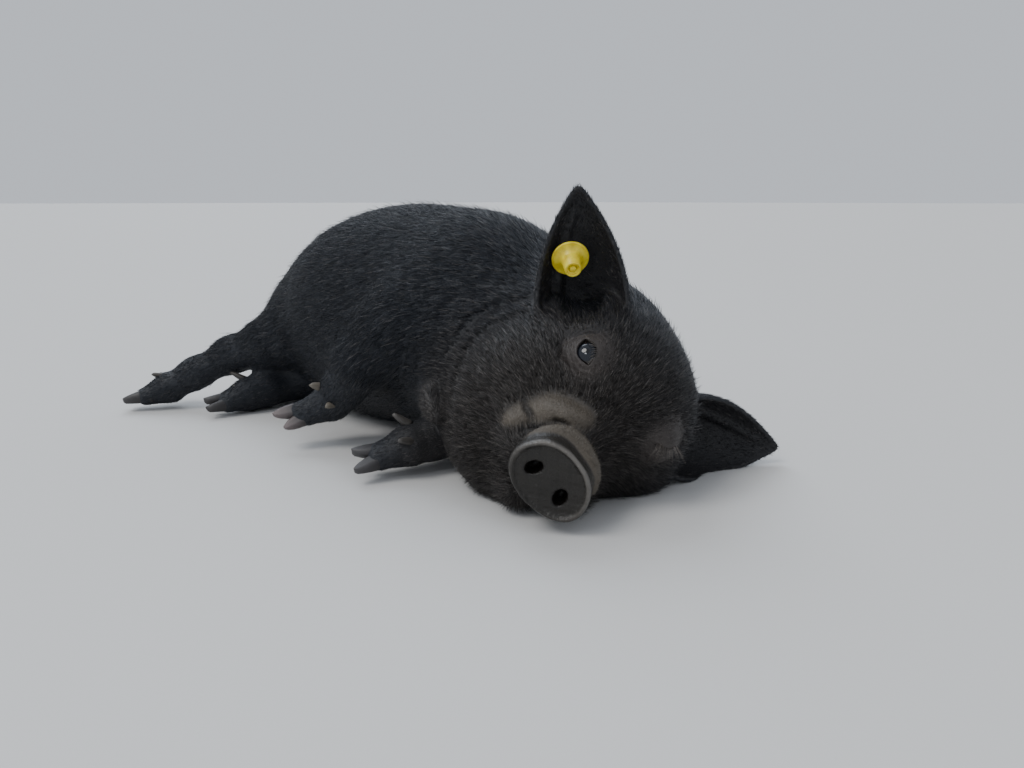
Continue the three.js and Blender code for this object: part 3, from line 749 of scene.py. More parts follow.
def split_zone(points, quads, others, zone):
    """The quads of a zone split in four. A face beside the zone takes the new corners into its ring."""
    chosen = quads[zone]
    rest = quads[~zone]
    edges = np.stack([chosen, np.roll(chosen, -1, 1)], 2).reshape(-1, 2)
    edges, back = np.unique(np.sort(edges, 1), axis=0, return_inverse=True)
    back = back.reshape(-1, 4) + len(points)
    middle_of = {tuple(e): len(points) + i for i, e in enumerate(edges.tolist())}
    centre = len(points) + len(edges) + np.arange(len(chosen))
    new_points = np.vstack([points, points[edges].mean(1), points[chosen].mean(1)])
    small = [np.stack([chosen[:, i], back[:, i], centre, back[:, i - 1]], 1) for i in range(4)]
    marked = np.zeros(len(new_points), bool)
    marked[edges.ravel()] = True
    beside = marked[rest].sum(1) >= 2
    rings = [list(r) for r in rest[beside].tolist()] + others
    kept_quads = [rest[~beside]]
    kept_others = []
    plain = []
    for ring in rings:
        grown = []
        for a, b in zip(ring, ring[1:] + ring[:1]):
            grown.append(a)
            middle = middle_of.get((a, b) if a < b else (b, a))
            if middle is not None:
                grown.append(middle)
        (plain if len(grown) == 4 else kept_others).append(grown)
    if plain:
        kept_quads.append(np.array(plain))
    return new_points, np.concatenate(kept_quads + small), kept_others


def to_metres(points):
    return (points - OUTLINE_MIDDLE) * 0.001


def in_scene(name, data):
    piece = bpy.data.objects.new(name, data)
    bpy.context.scene.collection.objects.link(piece)
    return piece


def mesh_object(name, points, faces):
    """A piece shaded smooth, from points in millimetres."""
    mesh = bpy.data.meshes.new(name)
    mesh.from_pydata(to_metres(points).tolist(), [], faces)
    mesh.validate()
    mesh.polygons.foreach_set("use_smooth", np.ones(len(mesh.polygons), bool))
    return in_scene(name, mesh)


def set_colours(piece, name, colours):
    layer = piece.data.color_attributes.new(name, "FLOAT_COLOR", "POINT")
    rgba = np.ones((len(colours), 4), np.float32)
    rgba[:, :3] = colours
    layer.data.foreach_set("color", rgba.ravel())


FLESH_LOW = np.array([-184.0, -184.0, -3.0])
FLESH_HIGH = np.array([234.0, 108.0, 168.0])
skin_points, skin_quads = surface_of(flesh, FLESH_LOW, FLESH_HIGH, GRID_STEP)
others = []
middles = skin_points[skin_quads].mean(1)
zone = (to_head(middles)[:, 1] > -92) & near(middles, head_middle, 95)
skin_points, skin_quads, others = split_zone(skin_points, skin_quads, others, zone)
middles = skin_points[skin_quads].mean(1)
zone = near(middles, EYES["right"]["centre"], 16) | near(middles, EYES["left"]["centre"], 14)
zone |= near(middles, disc_middle, 29)
skin_points, skin_quads, others = split_zone(skin_points, skin_quads, others, zone)
skin_points = settled(flesh, skin_points, 3, 0.6)
skin_points[:, 2] = np.maximum(skin_points[:, 2], FLOOR_CLEARANCE)


# Where things are on the animal, from 0 to 1, for the colours and the coat.
def fade(distance, near_by, far):
    t = np.clip((far - distance) / (far - near_by), 0, 1)
    return t * t * (3 - 2 * t)


def on_disc(points):
    return fade(disc_mass(points), 0.3, 1.6)


def on_folds(points):
    return fade(folds_mass(points) + COAT_DEPTH, 0.5, 5)


def on_lids(points):
    out = np.zeros(len(points))
    for eye in EYES.values():
        q = in_eye(eye, points)
        out = np.maximum(out, fade(np.linalg.norm(q * np.array([0.9, 1, 1]), axis=1), 10, 17))
    return out


def at_lid_edges(points):
    out = np.zeros(len(points))
    for eye, (_, gap) in zip(EYES.values(), lid_masses):
        out = np.maximum(out, fade(gap(points), 0.0, 1.2) * near(points, eye["centre"], 14))
    return out


def on_face(points):
    return fade(-to_head(points)[:, 1], 30, 105) * fade(far_from(head_middle, points), 80, 120)


def in_ear_cup(points):
    out = np.zeros(len(points))
    for shape in EARS.values():
        along, length, u, x, y = ear_section(shape, points)
        radius = ear_radius(u)
        reach = np.hypot(x, y)
        inner = (reach < radius - 0.4) & (reach > radius - 6) & (along > -4) & (along < length + 2)
        out = np.maximum(out, inner)
    return out


# The hide's colours, with painted shade in the bridge's creases and the nostrils, a painted highlight on the
# disc's rim and a painted blue sheen on the black.
# The hide's own black, with a blue cast that is painted sheen of the sky.
BLACK_AND_BLUE_SHEEN = np.array([0.0128, 0.0152, 0.0204])
FACE_BROWN = np.array([0.0205, 0.0172, 0.0150])
FOLD_BROWN = np.array([0.092, 0.077, 0.059])
LID_BROWN = np.array([0.042, 0.034, 0.030])
DISC_BROWN = np.array([0.0140, 0.0118, 0.0092])
PALE_RIM_AND_HIGHLIGHT = np.array([0.130, 0.119, 0.106])
CUP_DARK = np.array([0.0070, 0.0062, 0.0070])
# Painted shade, for the creases and the nostrils.
RECESS_SHADE = np.array([0.004, 0.003, 0.0025])


def skin_colours(points):
    def mix(base, colour, amount):
        return base * (1 - amount[:, None]) + colour * amount[:, None]

    colours = np.tile(BLACK_AND_BLUE_SHEEN, (len(points), 1))
    colours = mix(colours, FACE_BROWN, on_face(points) * 0.9)
    colours = mix(colours, FOLD_BROWN, on_folds(points) * 0.8)
    # Painted shade along the creases of the bridge.
    colours = mix(colours, RECESS_SHADE, fade(bridge_creases(points), 0.0, 1.7) * 0.8)
    colours = mix(colours, LID_BROWN, on_lids(points) * 0.75)
    colours = mix(colours, CUP_DARK, in_ear_cup(points) * 0.8)
    disc = on_disc(points)
    height = in_disc(points)[:, 1] / DISC_HALF_HEIGHT
    # The rim is paler skin, and lighter towards its top as painted highlight.
    rim = fade(np.abs(disc_share(points) - 0.94), 0.02, 0.09) * np.clip(0.45 + 0.55 * height, 0, 1)
    rim = rim * fade(-in_disc(points)[:, 2], 0.0, 2.5)
    colours = mix(colours, DISC_BROWN, disc)
    colours = mix(colours, PALE_RIM_AND_HIGHLIGHT, disc * rim)
    # Painted shade, dark in the nostrils.
    for nostril in nostril_masses:
        colours = mix(colours, RECESS_SHADE, fade(nostril(points), 0.0, 1.5) * disc * 0.9)
    return colours


skin = mesh_object("skin", skin_points, skin_quads.tolist() + others)
skin_tints = in_parts(skin_colours, skin_points)
set_colours(skin, "tint", skin_tints)
wetness = np.maximum(in_parts(on_disc, skin_points), in_parts(at_lid_edges, skin_points))
set_colours(skin, "wet", np.repeat(wetness[:, None], 3, axis=1))
skin_normals = np.empty(len(skin_points) * 3, np.float32)
skin.data.vertices.foreach_get("normal", skin_normals)
skin_normals = skin_normals.reshape(-1, 3).astype(float)


# Materials.
class Look:
    """A material with short ways to add nodes to it."""

    def __init__(self, name):
        self.material = bpy.data.materials.new(name)
        self.material.use_nodes = True
        self.nodes = self.material.node_tree.nodes
        self.shader = self.nodes["Principled BSDF"]

    def link(self, output, node, socket):
        self.material.node_tree.links.new(output, node.inputs[socket])

    def attribute(self, name, output="Color"):
        node = self.nodes.new("ShaderNodeAttribute")
        node.attribute_name = name
        return node.outputs[output]

    def place(self):
        return self.nodes.new("ShaderNodeTexCoord").outputs["Object"]

    def noise(self, place, scale, detail=3.0, roughness=0.6):
        texture = self.nodes.new("ShaderNodeTexNoise")
        texture.inputs["Scale"].default_value = scale
        texture.inputs["Detail"].default_value = detail
        texture.inputs["Roughness"].default_value = roughness
        self.link(place, texture, "Vector")
        return texture.outputs["Fac"]

    def ranged(self, value, low, high):
        ramp = self.nodes.new("ShaderNodeMapRange")
        ramp.inputs["To Min"].default_value = low
        ramp.inputs["To Max"].default_value = high
        self.link(value, ramp, "Value")
        return ramp.outputs["Result"]

    def varied_colour(self, colour, fac, low, high):
        scale = self.nodes.new("ShaderNodeVectorMath")
        scale.operation = "SCALE"
        self.link(colour, scale, 0)
        self.link(self.ranged(fac, low, high), scale, "Scale")
        self.link(scale.outputs["Vector"], self.shader, "Base Color")

    def bump(self, height, strength, distance, normal=None):
        """A bump on top of another one's normal, if that is given."""
        bump = self.nodes.new("ShaderNodeBump")
        bump.inputs["Strength"].default_value = strength
        bump.inputs["Distance"].default_value = distance
        self.link(height, bump, "Height")
        if normal is not None:
            self.link(normal, bump, "Normal")
        self.link(bump.outputs["Normal"], self.shader, "Normal")
        return bump.outputs["Normal"]

    def set(self, socket, value):
        self.shader.inputs[socket].default_value = value


def hide_material():
    """Dry black skin with pores and fine creases, damp on the disc and at the lids' edges."""
    look = Look("hide")
    place = look.place()
    pores = look.noise(place, 900, 4, 0.7)
    patches = look.noise(place, 60, 3, 0.5)
    look.varied_colour(look.attribute("tint"), patches, 0.6, 1.4)
    roughness = look.nodes.new("ShaderNodeMix")
    look.link(look.attribute("wet", "Fac"), roughness, "Factor")
    look.link(look.ranged(pores, 0.42, 0.68), roughness, "A")
    look.link(look.ranged(pores, 0.16, 0.46), roughness, "B")
    look.link(roughness.outputs["Result"], look.shader, "Roughness")
    creases = look.nodes.new("ShaderNodeTexVoronoi")
    creases.feature = "DISTANCE_TO_EDGE"
    creases.inputs["Scale"].default_value = 700
    look.link(place, creases, "Vector")
    first = look.bump(creases.outputs["Distance"], 0.5, 0.0006)
    second = look.bump(pores, 0.5, 0.0007, first)
    look.bump(patches, 0.3, 0.002, second)
    look.set("Specular IOR Level", 0.4)
    return look.material


def hair_material():
    look = Look("bristles")
    look.link(look.attribute("tint"), look.shader, "Base Color")
    look.set("Roughness", 0.4)
    look.set("Specular IOR Level", 0.32)
    return look.material


def eye_material():
    look = Look("eye_wet")
    look.varied_colour(look.attribute("tint"), look.noise(look.place(), 1500), 0.6, 1.4)
    look.set("Roughness", 0.04)
    return look.material


def claw_material():
    look = Look("claw_horn")
    grain = look.noise(look.place(), 500, 4, 0.6)
    look.varied_colour(look.attribute("tint"), grain, 0.65, 1.35)
    look.link(look.ranged(grain, 0.38, 0.62), look.shader, "Roughness")
    look.bump(grain, 0.35, 0.0004)
    return look.material


def tag_material():
    """Yellow plastic that lets a little light in, with worn and cleaner places."""
    look = Look("tag_plastic")
    place = look.place()
    wear = look.noise(place, 220, 4, 0.6)
    ramp = look.nodes.new("ShaderNodeValToRGB")
    worn, clean = ramp.color_ramp.elements
    worn.position, worn.color = 0.3, (0.62, 0.46, 0.018, 1)
    clean.position, clean.color = 0.65, (0.90, 0.73, 0.045, 1)
    look.link(wear, ramp, "Fac")
    look.link(ramp.outputs["Color"], look.shader, "Base Color")
    look.link(look.ranged(wear, 0.25, 0.45), look.shader, "Roughness")
    look.bump(look.noise(place, 900), 0.12, 0.0003)
    look.set("Subsurface Weight", 0.12)
    look.set("Subsurface Scale", 0.002)
    return look.material


materials = {
    "hide": hide_material(),
    "hair": hair_material(),
    "eye": eye_material(),
    "claw": claw_material(),
    "tag": tag_material(),
}


def dress(piece, material, nodes=(), tints=None):
    if tints is not None:
        set_colours(piece, "tint", tints)
    piece.data.materials.append(materials[material])
    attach(piece, "root")
    if nodes:
        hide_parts(*nodes)


FLESH_NODES = ["torso", "neck", "head", "snout", "ear_right", "ear_left", "tail"] + list(LIMBS)
dress(skin, "hide", FLESH_NODES)


# The eyes.
def ball(centre, radius, basis, rings=48, sides=64):
    points = [centre + basis[:, 2] * radius]
    for i in range(1, rings):
        down = math.pi * i / rings
        for j in range(sides):
            turn = 2 * math.pi * j / sides
            across = basis[:, 0] * math.cos(turn) + basis[:, 1] * math.sin(turn)
            points.append(centre + radius * (basis[:, 2] * math.cos(down) + across * math.sin(down)))
    points.append(centre - basis[:, 2] * radius)
    faces = [[0, 1 + j, 1 + (j + 1) % sides] for j in range(sides)]
    for i in range(rings - 2):
        for j in range(sides):
            a = 1 + i * sides + j
            b = 1 + i * sides + (j + 1) % sides
            faces.append([a, a + sides, b + sides, b])
    last = len(points) - 1
    start = 1 + (rings - 2) * sides
    faces += [[last, start + (j + 1) % sides, start + j] for j in range(sides)]
    return np.array(points), faces


PUPIL_ANGLE, IRIS_ANGLE = 0.26, 0.62
for name, eye in EYES.items():
    points, faces = ball(eye["centre"], EYE_RADIUS - 0.15, eye["basis"])
    q = in_eye(eye, points)
    angle = np.arccos(np.clip(q[:, 2] / EYE_RADIUS, -1, 1))
    colours = np.tile(np.array([0.016, 0.012, 0.010]), (len(points), 1))
    spokes = 0.7 + 0.6 * np.abs(np.sin(9.5 * np.arctan2(q[:, 1], q[:, 0])))
    iris = angle < IRIS_ANGLE
    colours[iris] = np.array([0.0075, 0.0095, 0.0140]) * spokes[iris, None]
    colours[angle < PUPIL_ANGLE] = (0.0012, 0.0016, 0.0025)
    colours[np.abs(angle - IRIS_ANGLE) < 0.05] = (0.003, 0.003, 0.003)
    dress(mesh_object(f"eyeball_{name}", points, faces), "eye", [f"eye_{name}"], colours)


# The claws.
def loft(rings):
    """A skin over rings of points, closed by a face at each end."""
    count = len(rings[0])
    points = np.concatenate(rings)
    faces = []
    for r in range(len(rings) - 1):
        for i in range(count):
            j = (i + 1) % count
            faces.append([r * count + i, r * count + j, (r + 1) * count + j, (r + 1) * count + i])
    faces.append(list(range(count))[::-1])
    faces.append([(len(rings) - 1) * count + i for i in range(count)])
    return points, faces


def claw(root, tip, up, half_width, height, steps=16, sides=20):
    length = np.linalg.norm(tip - root)
    way = unit(tip - root)
    lift = unit(up - way * (up @ way))
    across = np.cross(way, lift)
    rings = []
    for s in range(steps + 1):
        u = s / steps
        wide = half_width * math.sqrt(max(0.012, 1 - u**2.6)) * (0.9 + 0.1 * math.sin(math.pi * u))
        wide *= 1 + 0.02 * math.sin(u * 34)
        high = height * (1 - 0.6 * u) * (1 if u < 0.97 else 0.8)
        turns = 2 * np.pi * np.arange(sides) / sides
        rise = high * np.maximum(0.06, 0.5 - 0.56 * np.cos(turns)) - height * 0.45
        ring = root + way * length * u + across * (wide * np.sin(turns))[:, None] + lift * rise[:, None]
        ring[:, 2] = np.maximum(ring[:, 2], FLOOR_CLEARANCE)
        rings.append(ring)
    return loft(rings)


CLAW_ROOT = np.array([0.020, 0.018, 0.019])
CLAW_TIPS = {
    "foreleg_right": (0.150, 0.120, 0.118),
    "foreleg_left": (0.055, 0.052, 0.054),
    "hindleg_right": (0.04, 0.037, 0.036),
    "hindleg_left": (0.035, 0.032, 0.032),
}
DEWCLAW_TINTS = {
    "foreleg_right": (0.13, 0.113, 0.09),
    "foreleg_left": (0.055, 0.05, 0.045),
    "hindleg_right": (0.05, 0.044, 0.038),
    "hindleg_left": (0.05, 0.044, 0.038),
}
CLAW_SUNK, DEWCLAW_SUNK = 1.0, 1.6
for name, limb in LIMBS.items():
    for i, (root, way, apart, up) in enumerate(digit_frames(limb)):
        tip = np.array(limb["toes"][i], float)
        points, faces = claw(root - way * CLAW_SUNK, tip, up, CLAW_HALF_WIDTH, CLAW_HEIGHT)
        share = np.clip((points - root) @ way / CLAW_LENGTH, 0, 1)[:, None] ** 1.6
        tints = CLAW_ROOT * (1 - share) + np.array(CLAW_TIPS[name]) * share
        piece = mesh_object(f"claw_{name}_{i + 1}", points, faces)
        dress(piece, "claw", [f"{name}_claw_{i + 1}"], tints)
        palm = -up
        behind = unit(palm - way * (palm @ way))
        dew_root = limb_line(limb)[-1] + behind * DEWCLAW_BEHIND + apart * DEWCLAW_APART
        dew_tip = dew_root + way * DEWCLAW_LENGTH * 0.75 + behind * DEWCLAW_OUT
        dew_root = dew_root - behind * DEWCLAW_SUNK - apart * DEWCLAW_SUNK
        points, faces = claw(dew_root, dew_tip, behind, DEWCLAW_HALF_WIDTH, DEWCLAW_HEIGHT, 10, 14)
        tints = np.tile(DEWCLAW_TINTS[name], (len(points), 1))
        piece = mesh_object(f"dewclaw_{name}_{i + 1}", points, faces)
        dress(piece, "claw", [f"{name}_dewclaw_{i + 1}"], tints)


# The ear tag.
tag_side = np.array([1.0, 1.0, 0.0])
TAG_BASIS_X = unit(tag_side - tag_way * (tag_side @ tag_way))
TAG_BASIS_Y = np.cross(tag_way, TAG_BASIS_X)


def turned(name, profile, closed, sides=72):
    """A ring of points round the tag's axis for each point of a profile of (radius, height)."""
    turns = 2 * np.pi * np.arange(sides) / sides
    spokes = np.outer(np.cos(turns), TAG_BASIS_X) + np.outer(np.sin(turns), TAG_BASIS_Y)
    rings = [np.array(TAG_PLACE) + tag_way * h + spokes * max(r, 0.02) for r, h in profile]
    points = np.concatenate(rings)
    faces = []
    count = len(rings)
    for r in range(count if closed else count - 1):
        for i in range(sides):
            j = (i + 1) % sides
            a, b = r * sides, ((r + 1) % count) * sides
            faces.append([a + i, a + j, b + j, b + i])
    if not closed:
        faces.append(list(range(sides))[::-1])
        faces.append([(count - 1) * sides + i for i in range(sides)])
    piece = mesh_object(name, points, faces)
    edge = piece.modifiers.new("soft edges", "BEVEL")
    edge.width = 0.00018
    edge.segments = 2
    edge.limit_method = "ANGLE"
    edge.angle_limit = math.radians(35)
    return piece


bore = PIN_RADIUS + TAG_GAP
boss_top = TAG_PLATE + BOSS_HEIGHT
tag_front = turned(
    "tag_plate",
    [
        (bore, 0), (TAG_RADIUS - 0.6, 0), (TAG_RADIUS, 0.4), (TAG_RADIUS, TAG_PLATE - 0.35),
        (TAG_RADIUS - 0.5, TAG_PLATE), (TAG_RADIUS - 1.1, TAG_PLATE - 0.25),
        (BOSS_RADIUS + 1.9, TAG_PLATE - 0.1), (BOSS_RADIUS + 1.0, TAG_PLATE + 0.4),
        (BOSS_RADIUS + 0.55, TAG_PLATE + 1.4),
        (BOSS_RADIUS + 0.1, TAG_PLATE + 1.9), (BOSS_RADIUS - 0.1, TAG_PLATE + 3.0),
        (BOSS_RADIUS - 0.75, boss_top - 0.3), (BOSS_RADIUS - 1.0, boss_top), (BOSS_RADIUS - 1.5, boss_top),
        (BOSS_RADIUS - 1.8, boss_top - 0.3), (BOSS_RADIUS - 1.9, boss_top - 1.2), (bore, boss_top - 1.2),
    ],
    True,
)
back_depth = -PIN_LENGTH
tag_back = turned(
    "tag_button",
    [
        (0, back_depth - TAG_PLATE), (TAG_RADIUS - 1, back_depth - TAG_PLATE),
        (TAG_RADIUS - 0.4, back_depth - TAG_PLATE + 0.5), (TAG_RADIUS - 0.4, back_depth - 0.3),
        (TAG_RADIUS - 0.8, back_depth), (PIN_RADIUS + 0.8, back_depth + 0.6), (PIN_RADIUS, back_depth + 1.2),
        (PIN_RADIUS, boss_top - 1.0), (PIN_RADIUS - 0.3, boss_top - 0.5), (PIN_RADIUS - 1.1, boss_top),
        (0, boss_top),
    ],
    False,
)
dress(tag_front, "tag", ["tag_front"])
dress(tag_back, "tag", ["tag_back"])


# The lie of the coat: back over the head, tailward on the trunk, down the limbs, out along the ears.
TRUNK_WAY = unit((-1.0, -0.25, -0.35))
NECK_WAY = unit((-1.0, 0.0, -0.15))
LIMB_REACH, TAIL_REACH, EAR_REACH, BODY_REACH, HEAD_REACH = 5.0, 1.5, 2.5, 5.0, 3.5


def ways_along(line, radii, reach):
    """Each bone of a line, the way the coat lies on it, and how far that way is felt."""
    ways = [unit(line[i + 1] - line[i]) for i in range(len(line) - 1)]
    return [(mass, way, reach) for mass, way in zip(chain(line, radii), ways)]


lie_parts = []
for limb in LIMBS.values():
    line = limb_line(limb)
    lie_parts += ways_along(line, limb_radii(limb), LIMB_REACH)
    lie_parts += [(bone(line[-1], root, 7.5, 6), way, LIMB_REACH) for root, way, _, _ in digit_frames(limb)]
lie_parts += ways_along(tail_points, [4] * len(tail_points), TAIL_REACH)
lie_parts += [(ear_mass(shape), ear_frame(shape)[1], EAR_REACH) for shape in EARS.values()]
lie_parts += [(neck_mass, NECK_WAY, BODY_REACH), (body_mass, TRUNK_WAY, BODY_REACH)]


def felt(mass, points, reach):
    return np.exp(-np.clip(mass(points) + 2, -2, 60) / reach)


def lie_of(points):
    """The way the coat lies: the mean of its parts' ways, by how near each part is."""
    away = rows_unit(points - in_head(0, 6, -4))
    weight = felt(head_mass, points, HEAD_REACH)
    flow = rows_unit(away * 0.5 - FORWARD) * weight[:, None]
    for mass, way, reach in lie_parts:
        share = felt(mass, points, reach)
        flow += share[:, None] * way
        weight += share
    return flow / np.maximum(weight, 1e-9)[:, None]


# Each root's place on an unwrap: a planar chart for each of six sides of each region.
CHART_COLUMNS, CHART_ROWS, CHART_PAD = 6, 4, 0.04
TRUNK_ROW, HEAD_ROW, LEGS_ROW, EARS_ROW = range(CHART_ROWS)
PATCH = 0.003
HAIR_SUNK, HAIR_CLEARANCE, TIP_CLEARANCE = 0.25, 0.06, 0.15
TIP_BRIGHTER = 1.7


def in_chart(number, share, charts):
    return (number + CHART_PAD + (1 - 2 * CHART_PAD) * np.clip(share, 0, 1)) / charts


def chart_places(points, normals, region):
    face = np.argmax(np.abs(normals), 1)
    side = face * 2 + (normals[np.arange(len(normals)), face] > 0)
    share = (points - FLESH_LOW) / (FLESH_HIGH - FLESH_LOW)
    u = np.where(face == 0, share[:, 1], share[:, 0])
    v = np.where(face == 2, share[:, 1], share[:, 2])
    return np.stack([in_chart(side, u, CHART_COLUMNS), in_chart(region, v, CHART_ROWS)], 1)


def triangle_mesh(name, points, faces):
    """A mesh of triangles, filled straight from arrays."""
    mesh = bpy.data.meshes.new(name)
    mesh.vertices.add(len(points))
    mesh.vertices.foreach_set("co", to_metres(points).astype(np.float32).ravel())
    mesh.loops.add(faces.size)
    mesh.loops.foreach_set("vertex_index", faces.astype(np.int32).ravel())
    mesh.polygons.add(len(faces))
    mesh.polygons.foreach_set("loop_start", np.arange(0, faces.size, 3, dtype=np.int32))
    mesh.polygons.foreach_set("loop_total", np.full(len(faces), 3, np.int32))
    mesh.update(calc_edges=True)
    return mesh


def hairs(name, roots, normals, ways, lengths, widths, lifts, colours, region, bent):
    """Closed, tapered three-sided hairs as one mesh: straight ones of 4 faces or bent ones of 10."""
    count = len(roots)
    up = normals
    lengths = lengths[:, None]
    flat = rows_unit(ways - up * (ways * up).sum(1, keepdims=True))
    cosine = np.cos(lifts)[:, None]
    sine = np.sin(lifts)[:, None]
    along = rows_unit(flat * cosine + up * sine)
    side = rows_unit(np.cross(along, up))
    top = np.cross(side, along)
    turns = random.uniform(0, 2 * np.pi, count)
    start = roots - up * HAIR_SUNK
    rings = []
    levels = [(0.0, 1.0), (0.5, 0.72)] if bent else [(0.0, 1.0)]
    for share, thick in levels:
        middle = start + along * (lengths * share)
        radius = (widths * thick / 2)[:, None]
        for k in range(3):
            a = (turns + 2 * np.pi * k / 3)[:, None]
            rings.append(middle + side * np.cos(a) * radius + top * np.sin(a) * radius * 0.8)
    if bent:
        tip_way = rows_unit(along * 0.93 + flat * 0.12 - up * 0.16)
        tip = start + along * (lengths * 0.5) + tip_way * (lengths * 0.5)
        pattern = [(0, 2, 1)]
        for k in range(3):
            n = (k + 1) % 3
            pattern += [(k, n, 3 + n), (k, 3 + n, 3 + k), (3 + k, 3 + n, 6)]
    else:
        tip = start + along * lengths
        pattern = [(0, 2, 1), (0, 1, 3), (1, 2, 3), (2, 0, 3)]
    tip[:, 2] = np.maximum(tip[:, 2], TIP_CLEARANCE)
    rings.append(tip)
    each = len(rings)
    points = np.stack(rings, 1).reshape(-1, 3)
    points[:, 2] = np.maximum(points[:, 2], HAIR_CLEARANCE)
    faces = (np.arange(count)[:, None, None] * each + np.array(pattern)[None]).reshape(-1, 3)
    piece = in_scene(name, triangle_mesh(name, points, faces))
    chart = chart_places(roots, normals, region)
    layer = piece.data.uv_layers.new(name="OFBake")
    corner = np.array([(0, 0), (1, 0), (0.5, 1)]) * PATCH
    uv = chart[:, None, None, :] + corner[None, None]
    uv = np.broadcast_to(uv, (count, len(pattern), 3, 2))
    layer.data.foreach_set("uv", uv.astype(np.float32).ravel())
    shades = np.repeat(colours, each, axis=0).reshape(count, each, 3)
    shades[:, -1] *= TIP_BRIGHTER
    dress(piece, "hair", tints=shades.reshape(-1, 3))


def bare_share(points):
    """Where the coat is missing, from 0 to 1: the disc, the lids' gap, the claws and the tag's pin."""
    bare = on_disc(points)
    for eye in EYES.values():
        q = in_eye(eye, points)
        gap = np.hypot(q[:, 0] / (eye["opening"][0] + 1.2), q[:, 1] / (eye["opening"][1] + 1.2))
        bare = np.maximum(bare, (gap < 1) & (np.linalg.norm(q, axis=1) < 14))
    for limb in LIMBS.values():
        for root, way, _, _ in digit_frames(limb):
            bare = np.maximum(bare, near(points, root + way * 9, 8.5))
    return np.maximum(bare, swelling_mass(points) < 3.5)


def on_feet(points):
    feet = np.zeros(len(points))
    for limb in LIMBS.values():
        feet = np.maximum(feet, fade(far_from(limb_line(limb)[-1], points), 20, 60))
    return feet


def on_ears(points):
    return fade(np.minimum(ear_masses[0](points), ear_masses[1](points)), 0.8, 4)


def region_of(points):
    """The row of the unwrap that each point belongs to."""
    head = near(points, head_middle, 96)
    legs = legs_mass(points) < body_mass(points)
    body = np.where(head, HEAD_ROW, np.where(legs, LEGS_ROW, TRUNK_ROW))
    return np.where(on_ears(points) > 0.5, EARS_ROW, body)


# Facts of the coat at each corner of the skin. Each hair takes its own from the corners round it.
TRUNK_HAIR, FACE_SHORTER, FEET_SHORTER = 7.0, 2.2, 3.0
FOLD_HAIR, EAR_HAIR = 2.2, 3.0
face_share = in_parts(on_face, skin_points)
fold_share = in_parts(on_folds, skin_points)
lid_share = in_parts(on_lids, skin_points)
feet_share = in_parts(on_feet, skin_points)
ear_share = in_parts(on_ears, skin_points)
cup_share = in_parts(in_ear_cup, skin_points)
skin_lie = in_parts(lie_of, skin_points)
hair_length = TRUNK_HAIR - FACE_SHORTER * face_share - FEET_SHORTER * feet_share
hair_length -= (hair_length - FOLD_HAIR) * np.maximum(fold_share, lid_share)
hair_length -= (hair_length - EAR_HAIR) * ear_share
coat_density = (1 + face_share) * (1 - 0.6 * cup_share) * (1 - 0.45 * fold_share) * (1 - 0.4 * lid_share)
coat_density *= 1 - in_parts(bare_share, skin_points)
coat_density[(skin_points[:, 2] < 1.0) | ((skin_normals[:, 2] < -0.9) & (skin_points[:, 2] < 6))] = 0
guard_density = coat_density * (1 - ear_share) * (1 - feet_share) * (1 - fold_share) * (1 - lid_share)
guard_density *= 0.35 + face_share


class Roots:
    """Random places on the skin, more of them where a density is high."""

    def __init__(self, count, density):
        corners = np.concatenate([skin_quads[:, [0, 1, 2]], skin_quads[:, [0, 2, 3]]])
        a, b, c = (skin_points[corners[:, k]] for k in range(3))
        area = np.linalg.norm(np.cross(b - a, c - a), axis=1)
        total = np.cumsum(area * density[corners].mean(1))
        self.corners = corners[np.searchsorted(total, random.uniform(0, total[-1], count))]
        r, s = random.uniform(0, 1, (2, count))
        flip = r + s > 1
        r[flip], s[flip] = 1 - r[flip], 1 - s[flip]
        self.weights = np.stack([1 - r - s, r, s], 1)

    def take(self, facts):
        """A fact of the skin's corners, at each root."""
        if facts.ndim == 1:
            return (facts[self.corners] * self.weights).sum(1)
        return (facts[self.corners] * self.weights[:, :, None]).sum(1)


COAT_PIECES = 6
HAIRS_A_PIECE = 48000
GUARD_HAIRS = 18000
# Painted highlight: a share of the hairs made lighter, as glints.
GLINT_SHARE = 0.06
GLINT = np.array([0.085, 0.078, 0.072])
WAY_SPREAD = 0.11


def add_coat(name, count, density, stretch, width, lift, bent):
    roots = Roots(count, density)
    points = roots.take(skin_points)
    face = roots.take(face_share)
    ways = rows_unit(roots.take(skin_lie))
    ways = ways + random.normal(0, WAY_SPREAD, ways.shape)
    lengths = roots.take(hair_length) * stretch * random.uniform(0.65, 1.2, count)
    widths = width * random.uniform(0.75, 1.25, count) * (1 - 0.3 * face)
    lifts = lift * random.uniform(0.5, 1.5, count) * (1 + 0.6 * face + 1.2 * roots.take(ear_share))
    # Each hair takes the skin's colours, with their painted shade, highlight and sheen, and a few get a
    # painted highlight as glints.
    colours = roots.take(skin_tints) * random.uniform(0.5, 1.5, count)[:, None]
    glint = (random.uniform(0, 1, count) < GLINT_SHARE * (1 + 1.6 * face))[:, None]
    colours = np.where(glint, colours + GLINT, colours)
    normals = rows_unit(roots.take(skin_normals))
    hairs(name, points, normals, ways, lengths, widths, lifts, colours, region_of(points), bent)


for n in range(COAT_PIECES):
    add_coat(f"coat_{n + 1}", HAIRS_A_PIECE, coat_density, 1.0, 0.36, 0.17, False)
add_coat("coat_guard", GUARD_HAIRS, guard_density, 1.35, 0.34, 0.4, True)


# The lashes of both eyes.
LASH_COLOUR = np.array([0.08, 0.07, 0.062])
LASH_WIDTH, LASH_LIFT = 0.26, 0.55


